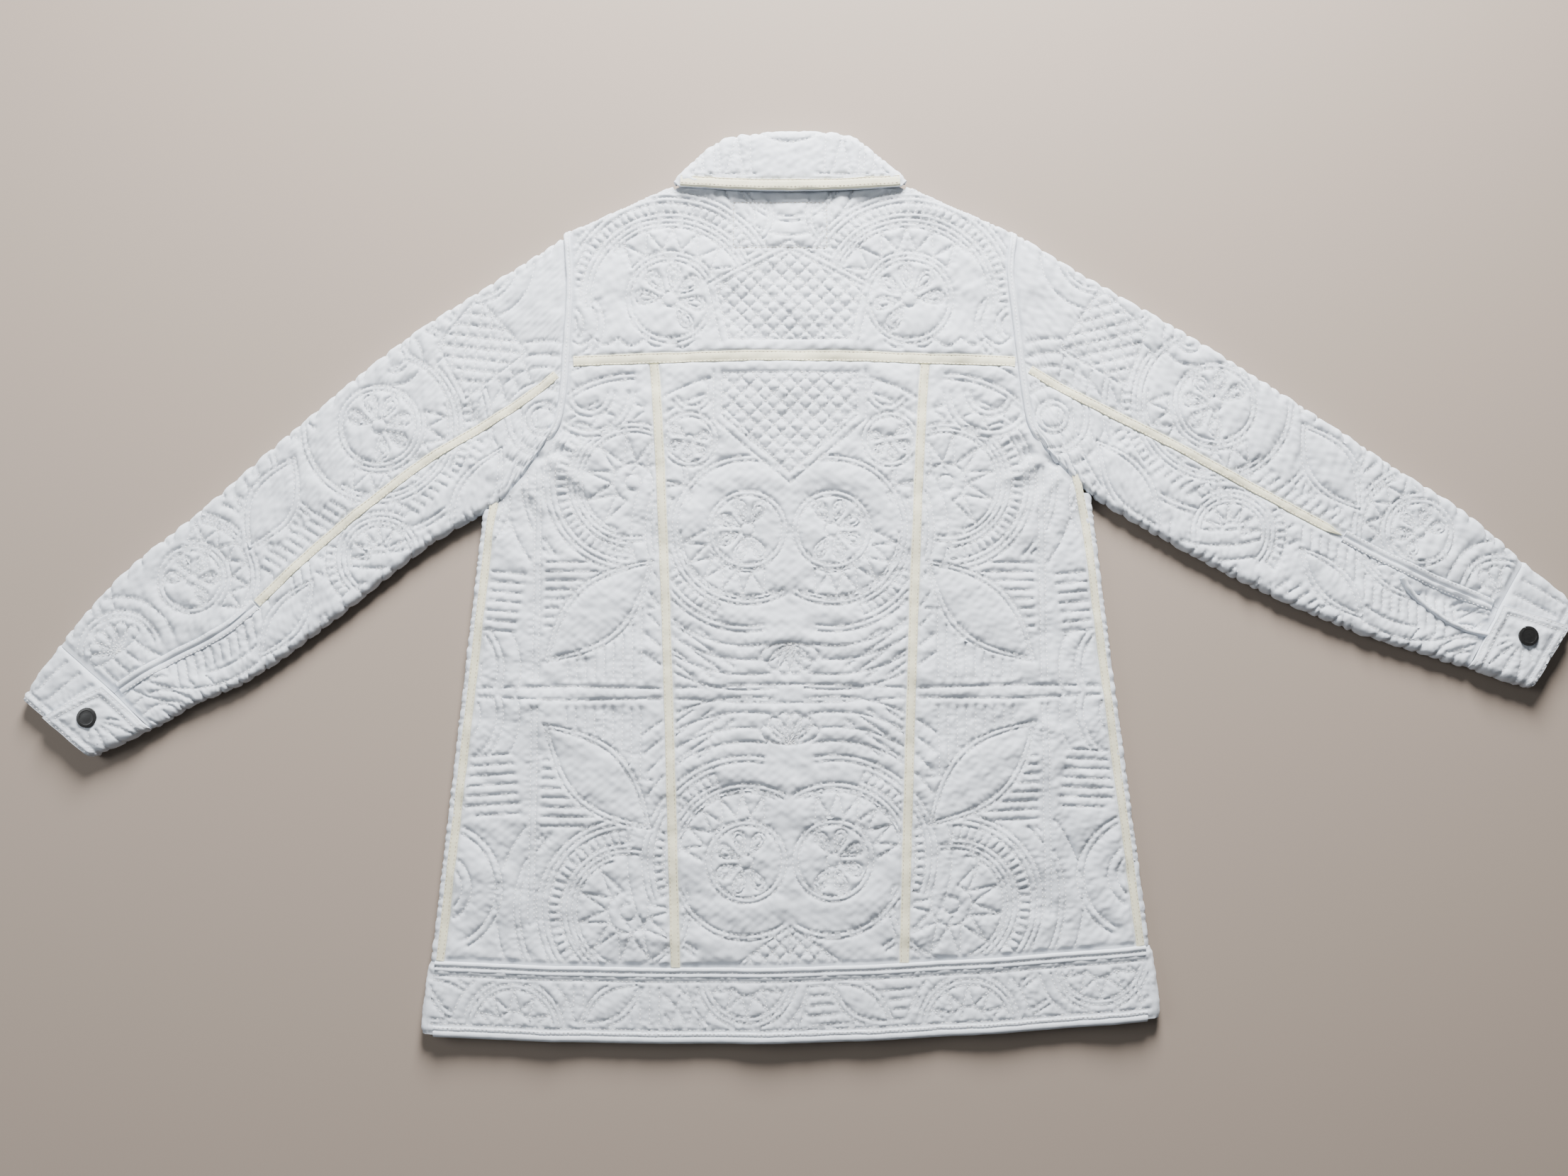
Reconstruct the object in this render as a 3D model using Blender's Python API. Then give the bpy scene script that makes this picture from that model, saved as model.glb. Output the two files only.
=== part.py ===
"""Quilted jacket laid face down on a flat surface, sleeves spread, seen from its back.

Every cut piece of cloth is its own closed wall. Lengths are in millimetres and become
metres in the meshes. X runs to the viewer's right, Y towards the collar, Z up. The
origin is on the surface, under the body's centre line, level with the underarms.
"""
import math
from collections import namedtuple

import bmesh
import bpy
from mathutils import Vector
from mathutils.geometry import delaunay_2d_cdt
from mathutils.kdtree import KDTree

MM = 0.001
SEAM_GAP = 0.3          # between two cut pieces at a seam
LIFT = 0.35             # between a panel and the trim on it

# Cloth
BACK_WALL = 3.0         # quilted cloth of the back and sleeves, cover, batting and backing
FRONT_WALL = 2.4        # the fronts, pressed flat under the rest
TAPE_WALL = 1.0         # bias tape over a seam
PUFF = 2.3              # how far a wide unquilted place swells
PUFF_SLOPE = 0.30       # how fast it rises away from a line of stitches

# Body
FOLD_RADIUS = 4.7       # half the thickness of the body at its folded sides and shoulders
SAG = 1.8               # how far the back lies lower, away from the folded edges
SAG_REACH = 60.0
CENTRE_RISE = 1.8       # the overlapped fronts lift the back a little
CENTRE_RISE_WIDTH = 60.0
RIPPLES = [(0.25, 31.0, 47.0), (0.2, 53.0, -38.0)]  # height, and waves across and up the back
CHEST_Y = 2.0           # where the side folds start, under the arms
HEM_SEAM_Y = -385.0
HEM_Y = -444.0
HEM_TILT = 0.021        # the hem lies askew by this slope
HEM_BOW = 0.00013       # and rises towards its sides by this much times x squared
HEM_BOW_START = -60.0   # no bow above this height on the view
BODY_REACH = 320.0      # only the sleeves reach further out than this
CHEST_X = {-1: 268.0, 1: 265.0}
HIP_X = {-1: 303.0, 1: 304.0}
SIDE_SEAM_INSET = 8.0   # the side seam lies on the back, inside the fold
BACK_SEAM_TOP_X = 121.0
BACK_SEAM_HEM_X = 96.5
YOKE_SEAM_Y = 143.0
YOKE_SEAM_DROP = 6.0    # the yoke seam bows down this much at the armholes
NECK_POINT = (104.0, 299.0)
SHOULDER_POINT = (199.0, 255.0)
SHOULDER_WRAP = math.radians(112)
FRONT_OVERLAP = 14.0    # each front passes the centre line by this much
FRONT_LIFT = 2.7        # the upper front lies on the lower one
LIFT_START = 36.0
FRONT_NECK_DEPTH = 222.0
FRONT_NECK = [(92, 290), (78, 262), (50, 236), (FRONT_OVERLAP + 2, FRONT_NECK_DEPTH + 1)]

# Armhole seam between shoulder and underarm notch, for the left and the right of the view
ARMHOLE = {
    -1: [(-198, 252), (-195, 216), (-195, 187), (-197, 148), (-199, 112), (-204, 83), (-215, 64)],
    1: [(200, 255), (196, 221), (199, 187), (203, 148), (207, 111), (212, 82), (223, 61)],
}

# Sleeve sections from the armhole to the cuff seam: the two silhouette points, how far
# the elbow seam is across from the upper one, and half the height of the flattened tube
SleeveRow = namedtuple("SleeveRow", "upper_x upper_y lower_x lower_y seam half_height")
SLEEVE_ROWS = {
    -1: [
        SleeveRow(-199, 252, -216, 63, 0.63, 4.8),
        SleeveRow(-262, 209, -253, 15, 0.62, 5.2),
        SleeveRow(-342, 155, -316, -25, 0.62, 5.4),
        SleeveRow(-430, 80, -398, -91, 0.62, 5.3),
        SleeveRow(-513, 5, -465, -140, 0.68, 5.2),
        SleeveRow(-580, -52, -515, -163, 0.66, 5.2),
        SleeveRow(-630, -112, -548, -184, 0.58, 5.2),
    ],
    1: [
        SleeveRow(201, 255, 224, 60, 0.61, 4.8),
        SleeveRow(270, 210, 262, 22, 0.58, 5.2),
        SleeveRow(352, 161, 322, -16, 0.55, 5.4),
        SleeveRow(450, 97, 404, -61, 0.53, 5.3),
        SleeveRow(533, 40, 484, -97, 0.52, 5.2),
        SleeveRow(590, 2, 540, -116, 0.52, 5.2),
        SleeveRow(637, -40, 585, -131, 0.45, 5.2),
    ],
}
SLEEVE_STATIONS = 14
SLEEVE_SAG = 1.5
ARMHOLE_REACH = 90.0    # how far down the sleeve its start's curve fades
ARMHOLE_CLEARANCE = 1.0  # between body and sleeve, under the welt
UNDER_SEAM = 0.45       # where the seam on the underside lies, across from the upper edge
PLACKET_START = 0.68    # the sleeve slit runs from here to the cuff
PLACKET_WIDTH = 11.0
PLACKET_RISE = 0.4      # its layers lift it this much more

# Cuffs: corners at the sleeve seam and at the wrist, and how far across the tab ends there
CuffRow = namedtuple("CuffRow", "upper_x upper_y lower_x lower_y tab")
CUFF_ENDS = {
    -1: [CuffRow(-630, -112, -548, -184, 0.50), CuffRow(-660, -158, -598, -208, 0.33)],
    1: [CuffRow(637, -40, 585, -131, 0.42), CuffRow(683, -80, 637, -149, 0.24)],
}
CUFF_WALL = 3.0
CUFF_HALF_HEIGHT = 5.2
CUFF_UNDERLAP = 0.8     # the end beneath the tab stops this far across
SNAP_RADIUS = 8.5
SNAP_HEIGHT = 2.4
SNAP_AT = 0.52          # along the cuff from seam to wrist
SNAP_INSET = 21.0       # from the tab's end

# Collar: its outline seen from above, from the left tip round the roll to the right tip
COLLAR_OUTLINE = [(-104, 302), (-92, 313), (-76, 329), (-56, 341), (-30, 345), (5, 347),
                  (40, 346), (60, 340), (78, 326), (92, 313), (105, 303)]
COLLAR_EDGE_Y = 292.0
COLLAR_EDGE_RISE = 4.5  # the free edge bows up towards its tips
COLLAR_RADIUS = 7.0
COLLAR_WALL = 2.8
COLLAR_WRAP = math.radians(122)
COLLAR_BINDING = 9.0
COLLAR_FRONT_INSET = 3.0    # the collar's front lies this far inside the roll
NECK_SEAM_LAP = 7.0     # how far the yoke runs under the collar

# Trim widths
TAPE_WIDTH = 8.0
YOKE_TAPE_WIDTH = 9.5
SIDE_TAPE_WIDTH = 7.0
WELT_WIDTH = 6.0
WELT_WALL = 2.6
HEM_WELT_WIDTH = 8.5
HEM_BINDING_WIDTH = 9.0

# Looks
CLOTH = ("cloth", (0.80, 0.81, 0.83), 0.9, 0.0)
TAPE = ("tape", (0.80, 0.78, 0.69), 0.85, 0.0)
SNAP = ("snap", (0.01, 0.01, 0.012), 0.25, 0.6)

# Mesh density
FILL_STEP = 16.0
PLAIN_STEP = 60.0
LINE_STEP = 14.0
EDGE_STEP = 20.0
BEND_SHARES = (0.0, 0.33, 0.67, 1.0)    # rows of points round a half turn
EDGE_STITCH = 6.5       # the row of stitches beside a seam, clear of the tape on it
SEAM_ROWS = 17          # points down a long seam


# Plane geometry
def smooth_step(value):
    value = min(1.0, max(0.0, value))
    return value * value * (3.0 - 2.0 * value)


def spline(rows, count):
    """Catmull-Rom curve through rows of numbers, read at count even places."""
    result = []
    last = len(rows) - 1
    for i in range(count):
        place = last * i / (count - 1)
        k = min(int(place), last - 1)
        f = place - k
        before, start, end, after = (rows[max(0, min(last, k + j))] for j in (-1, 0, 1, 2))
        result.append(tuple(
            0.5 * (2 * b + (c - a) * f + (2 * a - 5 * b + 4 * c - d) * f * f
                   + (3 * b - a - 3 * c + d) * f ** 3)
            for a, b, c, d in zip(before, start, end, after)))
    return result


def resample(path, step, closed=False):
    """Points about one step apart along a path, keeping its corners."""
    points = list(path) + ([path[0]] if closed else [])
    result = []
    for a, b in zip(points, points[1:]):
        parts = max(1, round(math.dist(a, b) / step))
        result += [(a[0] + (b[0] - a[0]) * i / parts, a[1] + (b[1] - a[1]) * i / parts)
                   for i in range(parts)]
    if not closed:
        result.append(tuple(points[-1]))
    return result


def inside(point, polygon):
    x, y = point
    result = False
    for (ax, ay), (bx, by) in zip(polygon, polygon[1:] + polygon[:1]):
        if (ay > y) != (by > y) and x < ax + (bx - ax) * (y - ay) / (by - ay):
            result = not result
    return result


def nearest_on(path, point):
    """Distance to a path, the nearest point on it and the path's left normal there."""
    best = None
    p = Vector(point)
    for a, b in zip(path, path[1:]):
        a, b = Vector(a), Vector(b)
        along = b - a
        f = min(1.0, max(0.0, (p - a).dot(along) / along.length_squared))
        foot = a + along * f
        distance = (p - foot).length
        if best is None or distance < best[0]:
            best = (distance, foot, Vector((-along.y, along.x)).normalized())
    return best


def inset_rows(outline, distance, wanted):
    """Rows parallel to an outline that runs anticlockwise, inside it, where wanted."""
    count = len(outline)
    rows = [[]]
    loop = list(outline) + [outline[0]]
    for i in list(range(count)) + [0]:
        before, here, after = (Vector(outline[(i + j) % count]) for j in (-1, 0, 1))
        turn = (here - before).normalized() + (after - here).normalized()
        if turn.length < 0.3:
            continue
        inward = Vector((-turn.y, turn.x)).normalized()
        mitre = min(1.6, 2.0 / max(0.4, turn.length))
        point = tuple(here + inward * distance * mitre)
        if nearest_on(loop, point)[0] > 0.9 * distance and inside(point, outline) and wanted(point):
            if not rows[-1] or math.dist(rows[-1][-1], point) > 6:
                rows[-1].append(point)
        elif rows[-1]:
            rows.append([])
    return [row for row in rows if len(row) > 1]


def offset_path(path, distance):
    """The path moved to its left by a distance."""
    result = []
    for i, point in enumerate(path):
        before = Vector(path[max(0, i - 1)])
        after = Vector(path[min(len(path) - 1, i + 1)])
        along = (after - before).normalized()
        result.append((point[0] - along.y * distance, point[1] + along.x * distance))
    return result


# Body frame
def side_x(side, y):
    """The folded side of the body at height y on the view."""
    f = (CHEST_Y - y) / (CHEST_Y - HEM_SEAM_Y)
    return side * (CHEST_X[side] + (HIP_X[side] - CHEST_X[side]) * f)


def back_seam_x(side, y):
    f = (YOKE_SEAM_Y - y) / (YOKE_SEAM_Y - HEM_SEAM_Y)
    return side * (BACK_SEAM_TOP_X + (BACK_SEAM_HEM_X - BACK_SEAM_TOP_X) * f ** 0.7)


def settled(point):
    """A place on the body moved as the lower body lies, its hem askew and bowed."""
    x, y, z = point
    if abs(x) > BODY_REACH:
        return point
    share = smooth_step((HEM_BOW_START - y) / (HEM_BOW_START - HEM_SEAM_Y))
    return (x, y + (HEM_TILT * x + HEM_BOW * x * x) * share, z)


def armhole_x(side, y):
    """The armhole seam's place at a height on the view."""
    path = ARMHOLE[side]
    for (x0, y0), (x1, y1) in zip(path, path[1:]):
        if y >= y1:
            break
    f = min(1.0, max(0.0, (y - y0) / (y1 - y0)))
    return x0 + (x1 - x0) * f


def yoke_seam_y(x):
    return YOKE_SEAM_Y - YOKE_SEAM_DROP * (x / SHOULDER_POINT[0]) ** 2


def collar_edge_y(x):
    return COLLAR_EDGE_Y + COLLAR_EDGE_RISE * (x / NECK_POINT[0]) ** 2


def shoulder_path(side, inset=0.0):
    """The shoulder fold from neck to armhole, run on past both, moved inwards by inset."""
    neck = Vector((side * NECK_POINT[0], NECK_POINT[1]))
    tip = Vector((side * SHOULDER_POINT[0], SHOULDER_POINT[1]))
    along = (tip - neck).normalized()
    inward = Vector((along.y, -along.x)) * side
    start = neck - along * 30 + inward * inset
    end = tip + along * 30 + inward * inset
    return [tuple(start), tuple(end)]


def edge_distance(x, y):
    """How far a place on the back is from the nearest folded side, shoulder or armhole."""
    side = 1 if x > 0 else -1
    distances = [abs(side_x(side, y)) - abs(x)]
    distances.append(nearest_on(shoulder_path(side), (x, y))[0])
    distances.append(nearest_on(ARMHOLE[side], (x, y))[0])
    return max(0.0, min(distances))


def back_height(x, y):
    """The outside of the back, with no swelling of the quilting."""
    sag = SAG * smooth_step(edge_distance(x, y) / SAG_REACH)
    rise = CENTRE_RISE * math.exp(-(x / CENTRE_RISE_WIDTH) ** 2) * smooth_step((300 - y) / 60)
    ripple = sum(size * math.sin(x / across + y / up) for size, across, up in RIPPLES)
    return 2 * FOLD_RADIUS - sag + rise + ripple * smooth_step(edge_distance(x, y) / SAG_REACH)


# Quilting motifs, each a set of stitched lines and the ground that it covers
Motif = namedtuple("Motif", "lines covers")


def circle(x, y, radius, start=0.0, end=360.0):
    count = max(6, round(radius * math.radians(abs(end - start)) / LINE_STEP))
    angles = [math.radians(start + (end - start) * i / count) for i in range(count + 1)]
    return [(x + radius * math.cos(a), y + radius * math.sin(a)) for a in angles]


def covers_circle(x, y, radius):
    return lambda p: math.dist(p, (x, y)) < radius


def flower(x, y, radius, petals=7, turn=90.0):
    """An eye with teardrop petals, in a round frame."""
    lines = [circle(x, y, radius), circle(x, y, radius * 0.24)]
    for i in range(petals):
        angle = math.radians(turn + 360.0 * i / petals)
        tip = (x + radius * 0.86 * math.cos(angle), y + radius * 0.86 * math.sin(angle))
        root = (x + radius * 0.34 * math.cos(angle), y + radius * 0.34 * math.sin(angle))
        lines.append([root, tip])
    return Motif(lines, covers_circle(x, y, radius + 5))


def sun(x, y, radius, rays=9, start=0.0, end=360.0):
    """A ring of pointed rays between two arcs."""
    zigzag = []
    for i in range(2 * rays + 1):
        angle = math.radians(start + (end - start) * i / (2 * rays))
        reach = radius * (0.50 if i % 2 == 0 else 0.93)
        zigzag.append((x + reach * math.cos(angle), y + reach * math.sin(angle)))
    lines = [zigzag, circle(x, y, radius, start, end)]
    return Motif(lines, covers_circle(x, y, radius + 5))


def leaf(x0, y0, x1, y1, width):
    """A pointed leaf between two tips."""
    start, end = Vector((x0, y0)), Vector((x1, y1))
    along = end - start
    across = Vector((-along.y, along.x)).normalized() * width / 2
    count = max(4, round(along.length / LINE_STEP))
    edges = []
    for way in (1, -1):
        edges.append([tuple(start + along * i / count + across * way * math.sin(math.pi * i / count))
                      for i in range(count + 1)])
    shape = edges[0] + edges[1][::-1][1:-1]
    return Motif(edges, lambda p: inside(p, shape) or nearest_on(shape, p)[0] < 4)


def lattice(corners, pitch, lean=52.0):
    """Crossed lines that fill a shape with diamonds, inside its border."""
    centre = (sum(p[0] for p in corners) / len(corners), sum(p[1] for p in corners) / len(corners))
    reach = max(math.dist(centre, p) for p in corners)
    lines = [resample(corners, pitch, closed=True) + [corners[0]]]
    for way in (1, -1):
        angle = math.radians(lean) * way
        along = Vector((math.cos(angle), math.sin(angle)))
        across = Vector((-along.y, along.x))
        for i in range(-int(reach / pitch), int(reach / pitch) + 1):
            middle = Vector(centre) + across * pitch * i
            ends = [tuple(middle - along * reach), tuple(middle + along * reach)]
            row = [p for p in resample(ends, pitch) if inside(p, corners)
                   and nearest_on(list(corners) + [corners[0]], p)[0] > 4]
            lines.append(row)
    return Motif(lines, lambda p: inside(p, corners))


def echoes(x, y, radii, start, end):
    """Arcs round a common middle."""
    return Motif([circle(x, y, r, start, end) for r in radii], lambda p: False)


def bars(lines):
    return Motif([resample(line, LINE_STEP) for line in lines], lambda p: False)


def mirrored(motifs):
    """Motifs for the right of the view, and the same for the left."""
    result = []
    for motif in motifs:
        result.append(motif)
        lines = [[(-x, y) for x, y in line] for line in motif.lines]
        result.append(Motif(lines, lambda p, covers=motif.covers: covers((-p[0], p[1]))))
    return result


def body_motifs():
    yoke_field = [(-58, 156), (58, 156), (70, 205), (0, 238), (-70, 205)]
    back_field = [(-62, 128), (62, 128), (62, 88), (0, 36), (-62, 88)]
    label_ground = [(-50, 241), (33, 241), (33, 283), (-50, 283)]
    motifs = [
        Motif([], lambda p: inside(p, label_ground)),
        lattice(yoke_field, 17.0),
        lattice(back_field, 17.0),
    ]
    motifs += mirrored([
        flower(108, 198, 36),
        flower(38, -12, 34, turn=70),
        flower(38, -296, 34, turn=-70),
        leaf(122, -34, 206, -124, 46),
        leaf(206, -184, 122, -276, 46),
        sun(168, 36, 42, rays=10),
        sun(150, -336, 40, rays=9, start=-20, end=200),
        echoes(108, 198, (52, 68), -30, 200),
        echoes(38, -12, (48, 64), -120, 150),
        echoes(38, -296, (48, 64), -150, 120),
        echoes(168, 36, (60, 78, 96), -150, 60),
        echoes(206, -154, (44, 62), -70, 70),
        echoes(150, -336, (56, 74, 92), 20, 200),
    ])
    motifs.append(bars([[(-300, -154), (300, -154)]]))
    motifs += mirrored([
        bars([[(8, -110), (88, -92)], [(8, -198), (88, -216)], [(0, -128), (90, -128)], [(0, -180), (90, -180)]]),
        bars([[(228, y), (290, y - 4)] for y in range(-28, -380, -25) if abs(y + 154) > 10]),
        bars([[(4 + 22 * i, -352), (15 + 22 * i, -372), (26 + 22 * i, -352)] for i in range(4)]),
    ])
    return motifs


def sleeve_motifs(side):
    """Motifs laid along the sleeve's own length, then turned into place."""
    rows = SLEEVE_ROWS[side]
    start = Vector(((rows[0].upper_x + rows[0].lower_x) / 2, (rows[0].upper_y + rows[0].lower_y) / 2))
    end = Vector(((rows[-1].upper_x + rows[-1].lower_x) / 2, (rows[-1].upper_y + rows[-1].lower_y) / 2))
    along = (end - start).normalized()
    up = Vector((along.y, -along.x)) if side < 0 else Vector((-along.y, along.x))

    def to_plan(p):
        return tuple(start + along * p[0] + up * p[1])

    def to_sleeve(p):
        away = Vector(p) - start
        return (away.dot(along), away.dot(up))

    field = [(24, 4), (96, 4), (84, 62), (30, 74)]
    motifs = [
        lattice(field, 17.0),
        flower(168, 30, 36, turn=0),
        leaf(238, 58, 316, 18, 36),
        flower(372, 28, 28, turn=0),
        sun(452, 20, 26, rays=7),
        leaf(96, -52, 176, -84, 30),
        sun(232, -58, 24, rays=7),
        leaf(286, -42, 360, -62, 24),
        echoes(168, 30, (52, 68), -80, 120),
        echoes(372, 28, (42, 56), 60, 300),
        echoes(232, -58, (38, 54), -20, 200),
        echoes(452, 20, (40,), 90, 270),
        bars([[(20 + 22 * i, -34), (38 + 22 * i, -86)] for i in range(4)]),
    ]
    return [Motif([[to_plan(p) for p in line] for line in motif.lines],
                  lambda p, covers=motif.covers: covers(to_sleeve(p))) for motif in motifs]


def hem_motifs():
    """A row of half suns, leaves and bars along the hem band."""
    middle = (HEM_SEAM_Y + HEM_Y) / 2 - 2
    motifs = []
    for i, x in enumerate(range(-270, 271, 60)):
        if i % 3 == 0:
            motifs.append(sun(x, middle - 18, 30, rays=6, start=0, end=180))
        elif i % 3 == 1:
            motifs.append(leaf(x - 24, middle - 12, x + 24, middle + 14, 20))
        else:
            motifs.append(bars([[(x + k, middle - 16), (x + k, middle + 16)] for k in (-20, -7, 7, 20)]))
    return motifs


def clipped(motifs, allowed):
    """The motifs' lines where allowed, each hidden by the motifs before it."""
    result = []
    for i, motif in enumerate(motifs):
        for line in motif.lines:
            run = []
            for point in line:
                if allowed(point) and not any(m.covers(point) for m in motifs[:i]):
                    run.append(point)
                    continue
                if len(run) > 1:
                    result.append(run)
                run = []
            if len(run) > 1:
                result.append(run)
    return result


# Meshes
def material(look):
    name, colour, roughness, metallic = look
    made = bpy.data.materials.new(name)
    made.use_nodes = True
    shader = made.node_tree.nodes["Principled BSDF"]
    shader.inputs["Base Color"].default_value = (*colour, 1.0)
    shader.inputs["Roughness"].default_value = roughness
    shader.inputs["Metallic"].default_value = metallic
    return made


def add_object(name, points, faces, look):
    """A closed mesh in metres, its faces pointing out."""
    mesh = bpy.data.meshes.new(name)
    mesh.from_pydata([Vector(settled(p)) * MM for p in points], [], faces)
    solid = bmesh.new()
    solid.from_mesh(mesh)
    bmesh.ops.triangulate(solid, faces=solid.faces)
    bmesh.ops.recalc_face_normals(solid, faces=solid.faces)
    if solid.calc_volume(signed=True) < 0:
        bmesh.ops.reverse_faces(solid, faces=solid.faces)
    solid.to_mesh(mesh)
    solid.free()
    mesh.materials.append(material(look))
    made = bpy.data.objects.new(name, mesh)
    bpy.context.collection.objects.link(made)
    return made


def kd_of(points):
    tree = KDTree(len(points))
    for i, (x, y) in enumerate(points):
        tree.insert((x, y, 0.0), i)
    tree.balance()
    return tree


def hex_points(outline, step):
    xs = [p[0] for p in outline]
    ys = [p[1] for p in outline]
    rows = int((max(ys) - min(ys)) / (step * 0.87)) + 1
    columns = int((max(xs) - min(xs)) / step) + 2
    for row in range(rows):
        for column in range(columns):
            point = (min(xs) + step * (column + 0.5 * (row % 2)), min(ys) + step * 0.87 * row)
            if inside(point, outline):
                yield point


def triangulated(outline, lines, extra):
    """Triangles inside an outline that keep the lines, and each point's first source."""
    points = list(outline)
    edges = []
    for line in lines:
        first = len(points)
        points += line
        edges += [(first + i, first + i + 1) for i in range(len(line) - 1)]
    points += extra
    out = delaunay_2d_cdt([Vector(p) for p in points], edges, [list(range(len(outline)))], 1, 1e-4)
    found = {}
    for index, sources in enumerate(out[3]):
        for source in sources:
            if source < len(outline):
                found[source] = index
    return [tuple(p) for p in out[0]], out[2], [found[i] for i in range(len(outline))]


def wall(name, outline, place, thickness, look, lines=(), folds=(), quilted=None,
         plain_step=PLAIN_STEP, edged=None):
    """Cloth of one cut piece: an outline in its flat plan, placed by place(u, v, out).

    The outer side swells between the quilted lines. Folds are rows of points that a bend
    needs, kept on both sides of the wall. A row of stitches runs beside the edge where edged,
    or else where quilted.
    """
    if sum(a[0] * b[1] - b[0] * a[1] for a, b in zip(outline, outline[1:] + outline[:1])) < 0:
        outline = outline[::-1]
    lines = list(lines)
    if quilted:
        lines += inset_rows(outline, EDGE_STITCH, edged or quilted)
    low = [p for line in lines for p in resample(line, 3.0)] + resample(outline, 3.0, closed=True)
    low_tree = kd_of(low)
    rim_tree = kd_of(resample(outline, 3.0, closed=True))
    fold_points = [p for line in folds for p in line]

    def clear(point, gap):
        near_low = low_tree.find((*point, 0.0))[2] < gap
        near_fold = any(math.dist(point, f) < gap for f in fold_points)
        return not near_low and not near_fold

    fill = []
    if quilted:
        fill += [p for p in hex_points(outline, FILL_STEP) if quilted(p) and clear(p, 5.0)
                 and rim_tree.find((*p, 0.0))[2] > EDGE_STITCH + 3]
    fill += [p for p in hex_points(outline, plain_step) if clear(p, 12.0) and not (quilted and quilted(p))]

    points, faces, rim = triangulated(outline, lines + list(folds), fill)
    solid_points = []
    for point in points:
        distance = low_tree.find((*point, 0.0))[2]
        swell = 0.0
        if quilted and distance > 1.0 and quilted(point):
            swell = min(PUFF, PUFF_SLOPE * distance)
        solid_points.append(place(*point, swell))
    edge_tree = kd_of(resample(outline, 3.0, closed=True) + fold_points)
    plain = [p for p in hex_points(outline, plain_step) if edge_tree.find((*p, 0.0))[2] > 8.0]
    inner, inner_faces, inner_rim = triangulated(outline, list(folds), plain)
    first = len(solid_points)
    solid_points += [place(*p, -thickness) for p in inner]
    solid_faces = [list(f) for f in faces]
    solid_faces += [[first + i for i in reversed(f)] for f in inner_faces]
    count = len(outline)
    for i in range(count):
        j = (i + 1) % count
        solid_faces.append([rim[j], rim[i], first + inner_rim[i], first + inner_rim[j]])
    return add_object(name, solid_points, solid_faces, look)


def ribbon(name, rows, look):
    """A solid from rows of outer and inner points, from one end to the other."""
    points = []
    faces = []
    width = len(rows[0][0])
    for outer, inner in rows:
        points += list(outer) + list(inner)
    stride = 2 * width
    for k in range(len(rows) - 1):
        a, b = k * stride, (k + 1) * stride
        for i in range(width - 1):
            faces.append([a + i, a + i + 1, b + i + 1, b + i])
            faces.append([b + width + i, b + width + i + 1, a + width + i + 1, a + width + i])
        faces.append([a, b, b + width, a + width])
        faces.append([b + width - 1, a + width - 1, a + stride - 1, b + stride - 1])
    for end in (0, (len(rows) - 1) * stride):
        for i in range(width - 1):
            faces.append([end + i, end + i + 1, end + width + i + 1, end + width + i])
    return add_object(name, points, faces, look)


def strip(name, path, width, surface, look, wall_height=TAPE_WALL, crown=0.25, across=3):
    """Tape along a path in plan, lying LIFT above the surface that it covers."""
    rows = []
    for i, point in enumerate(path):
        before = Vector(path[max(0, i - 1)])
        after = Vector(path[min(len(path) - 1, i + 1)])
        along = (after - before).normalized()
        outer, inner = [], []
        for k in range(across):
            f = k / (across - 1) * 2 - 1
            x = point[0] - along.y * width / 2 * f
            y = point[1] + along.x * width / 2 * f
            z = surface(x, y) + LIFT
            inner.append((x, y, z))
            outer.append((x, y, z + wall_height * (1 - crown * f * f)))
        rows.append((outer, inner))
    return ribbon(name, rows, look)


# Back
def back_place(x, y, out):
    return (x, y, back_height(x, y) + out)


def yoke_place(x, y, out):
    """The back's surface, turned down over the shoulder fold."""
    side = 1 if x > 0 else -1
    path = shoulder_path(side, FOLD_RADIUS)
    distance, foot, normal = nearest_on(path, (x, y))
    outward = normal * side
    if (Vector((x, y)) - foot).dot(outward) <= 0:
        return back_place(x, y, out)
    angle = distance / FOLD_RADIUS
    spot = foot + outward * (FOLD_RADIUS + out) * math.sin(angle)
    return (spot.x, spot.y, FOLD_RADIUS + (FOLD_RADIUS + out) * math.cos(angle))


def shoulder_outline(side):
    """The yoke's shoulder edge in its flat plan, from neck to armhole, with the bend's rows."""
    depth = FOLD_RADIUS * SHOULDER_WRAP
    base = shoulder_path(side, FOLD_RADIUS)
    a, b = Vector(base[0]), Vector(base[1])
    along = (b - a).normalized()
    outward = Vector((-along.y, along.x)) * side
    start = a + along * 31
    end = b - along * 31
    levels = [depth * f for f in BEND_SHARES]
    neck_side = [tuple(start + outward * level) for level in levels]
    arm_side = [tuple(end + outward * level) for level in levels]
    top = resample([neck_side[-1], arm_side[-1]], 26)
    folds = [resample([neck_side[k], arm_side[k]], 26) for k in (0, 1, 2)]
    return neck_side[:-1] + top + arm_side[:-1][::-1], folds


def neck_path():
    count = 12
    xs = [-88 + 176 * i / count for i in range(count + 1)]
    return [(x, collar_edge_y(x) + NECK_SEAM_LAP) for x in xs]


def yoke_seam_path(side_gap, reach_left, reach_right):
    count = 24
    xs = [reach_left + (reach_right - reach_left) * i / count for i in range(count + 1)]
    return [(x, yoke_seam_y(x) + side_gap) for x in xs]


def armhole_run(side, low, high, inset):
    """The armhole seam between two heights, moved into the body by inset."""
    path = offset_path(resample(ARMHOLE[side], 12), -inset * side)
    return [p for p in path if low <= p[1] <= high]


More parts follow.
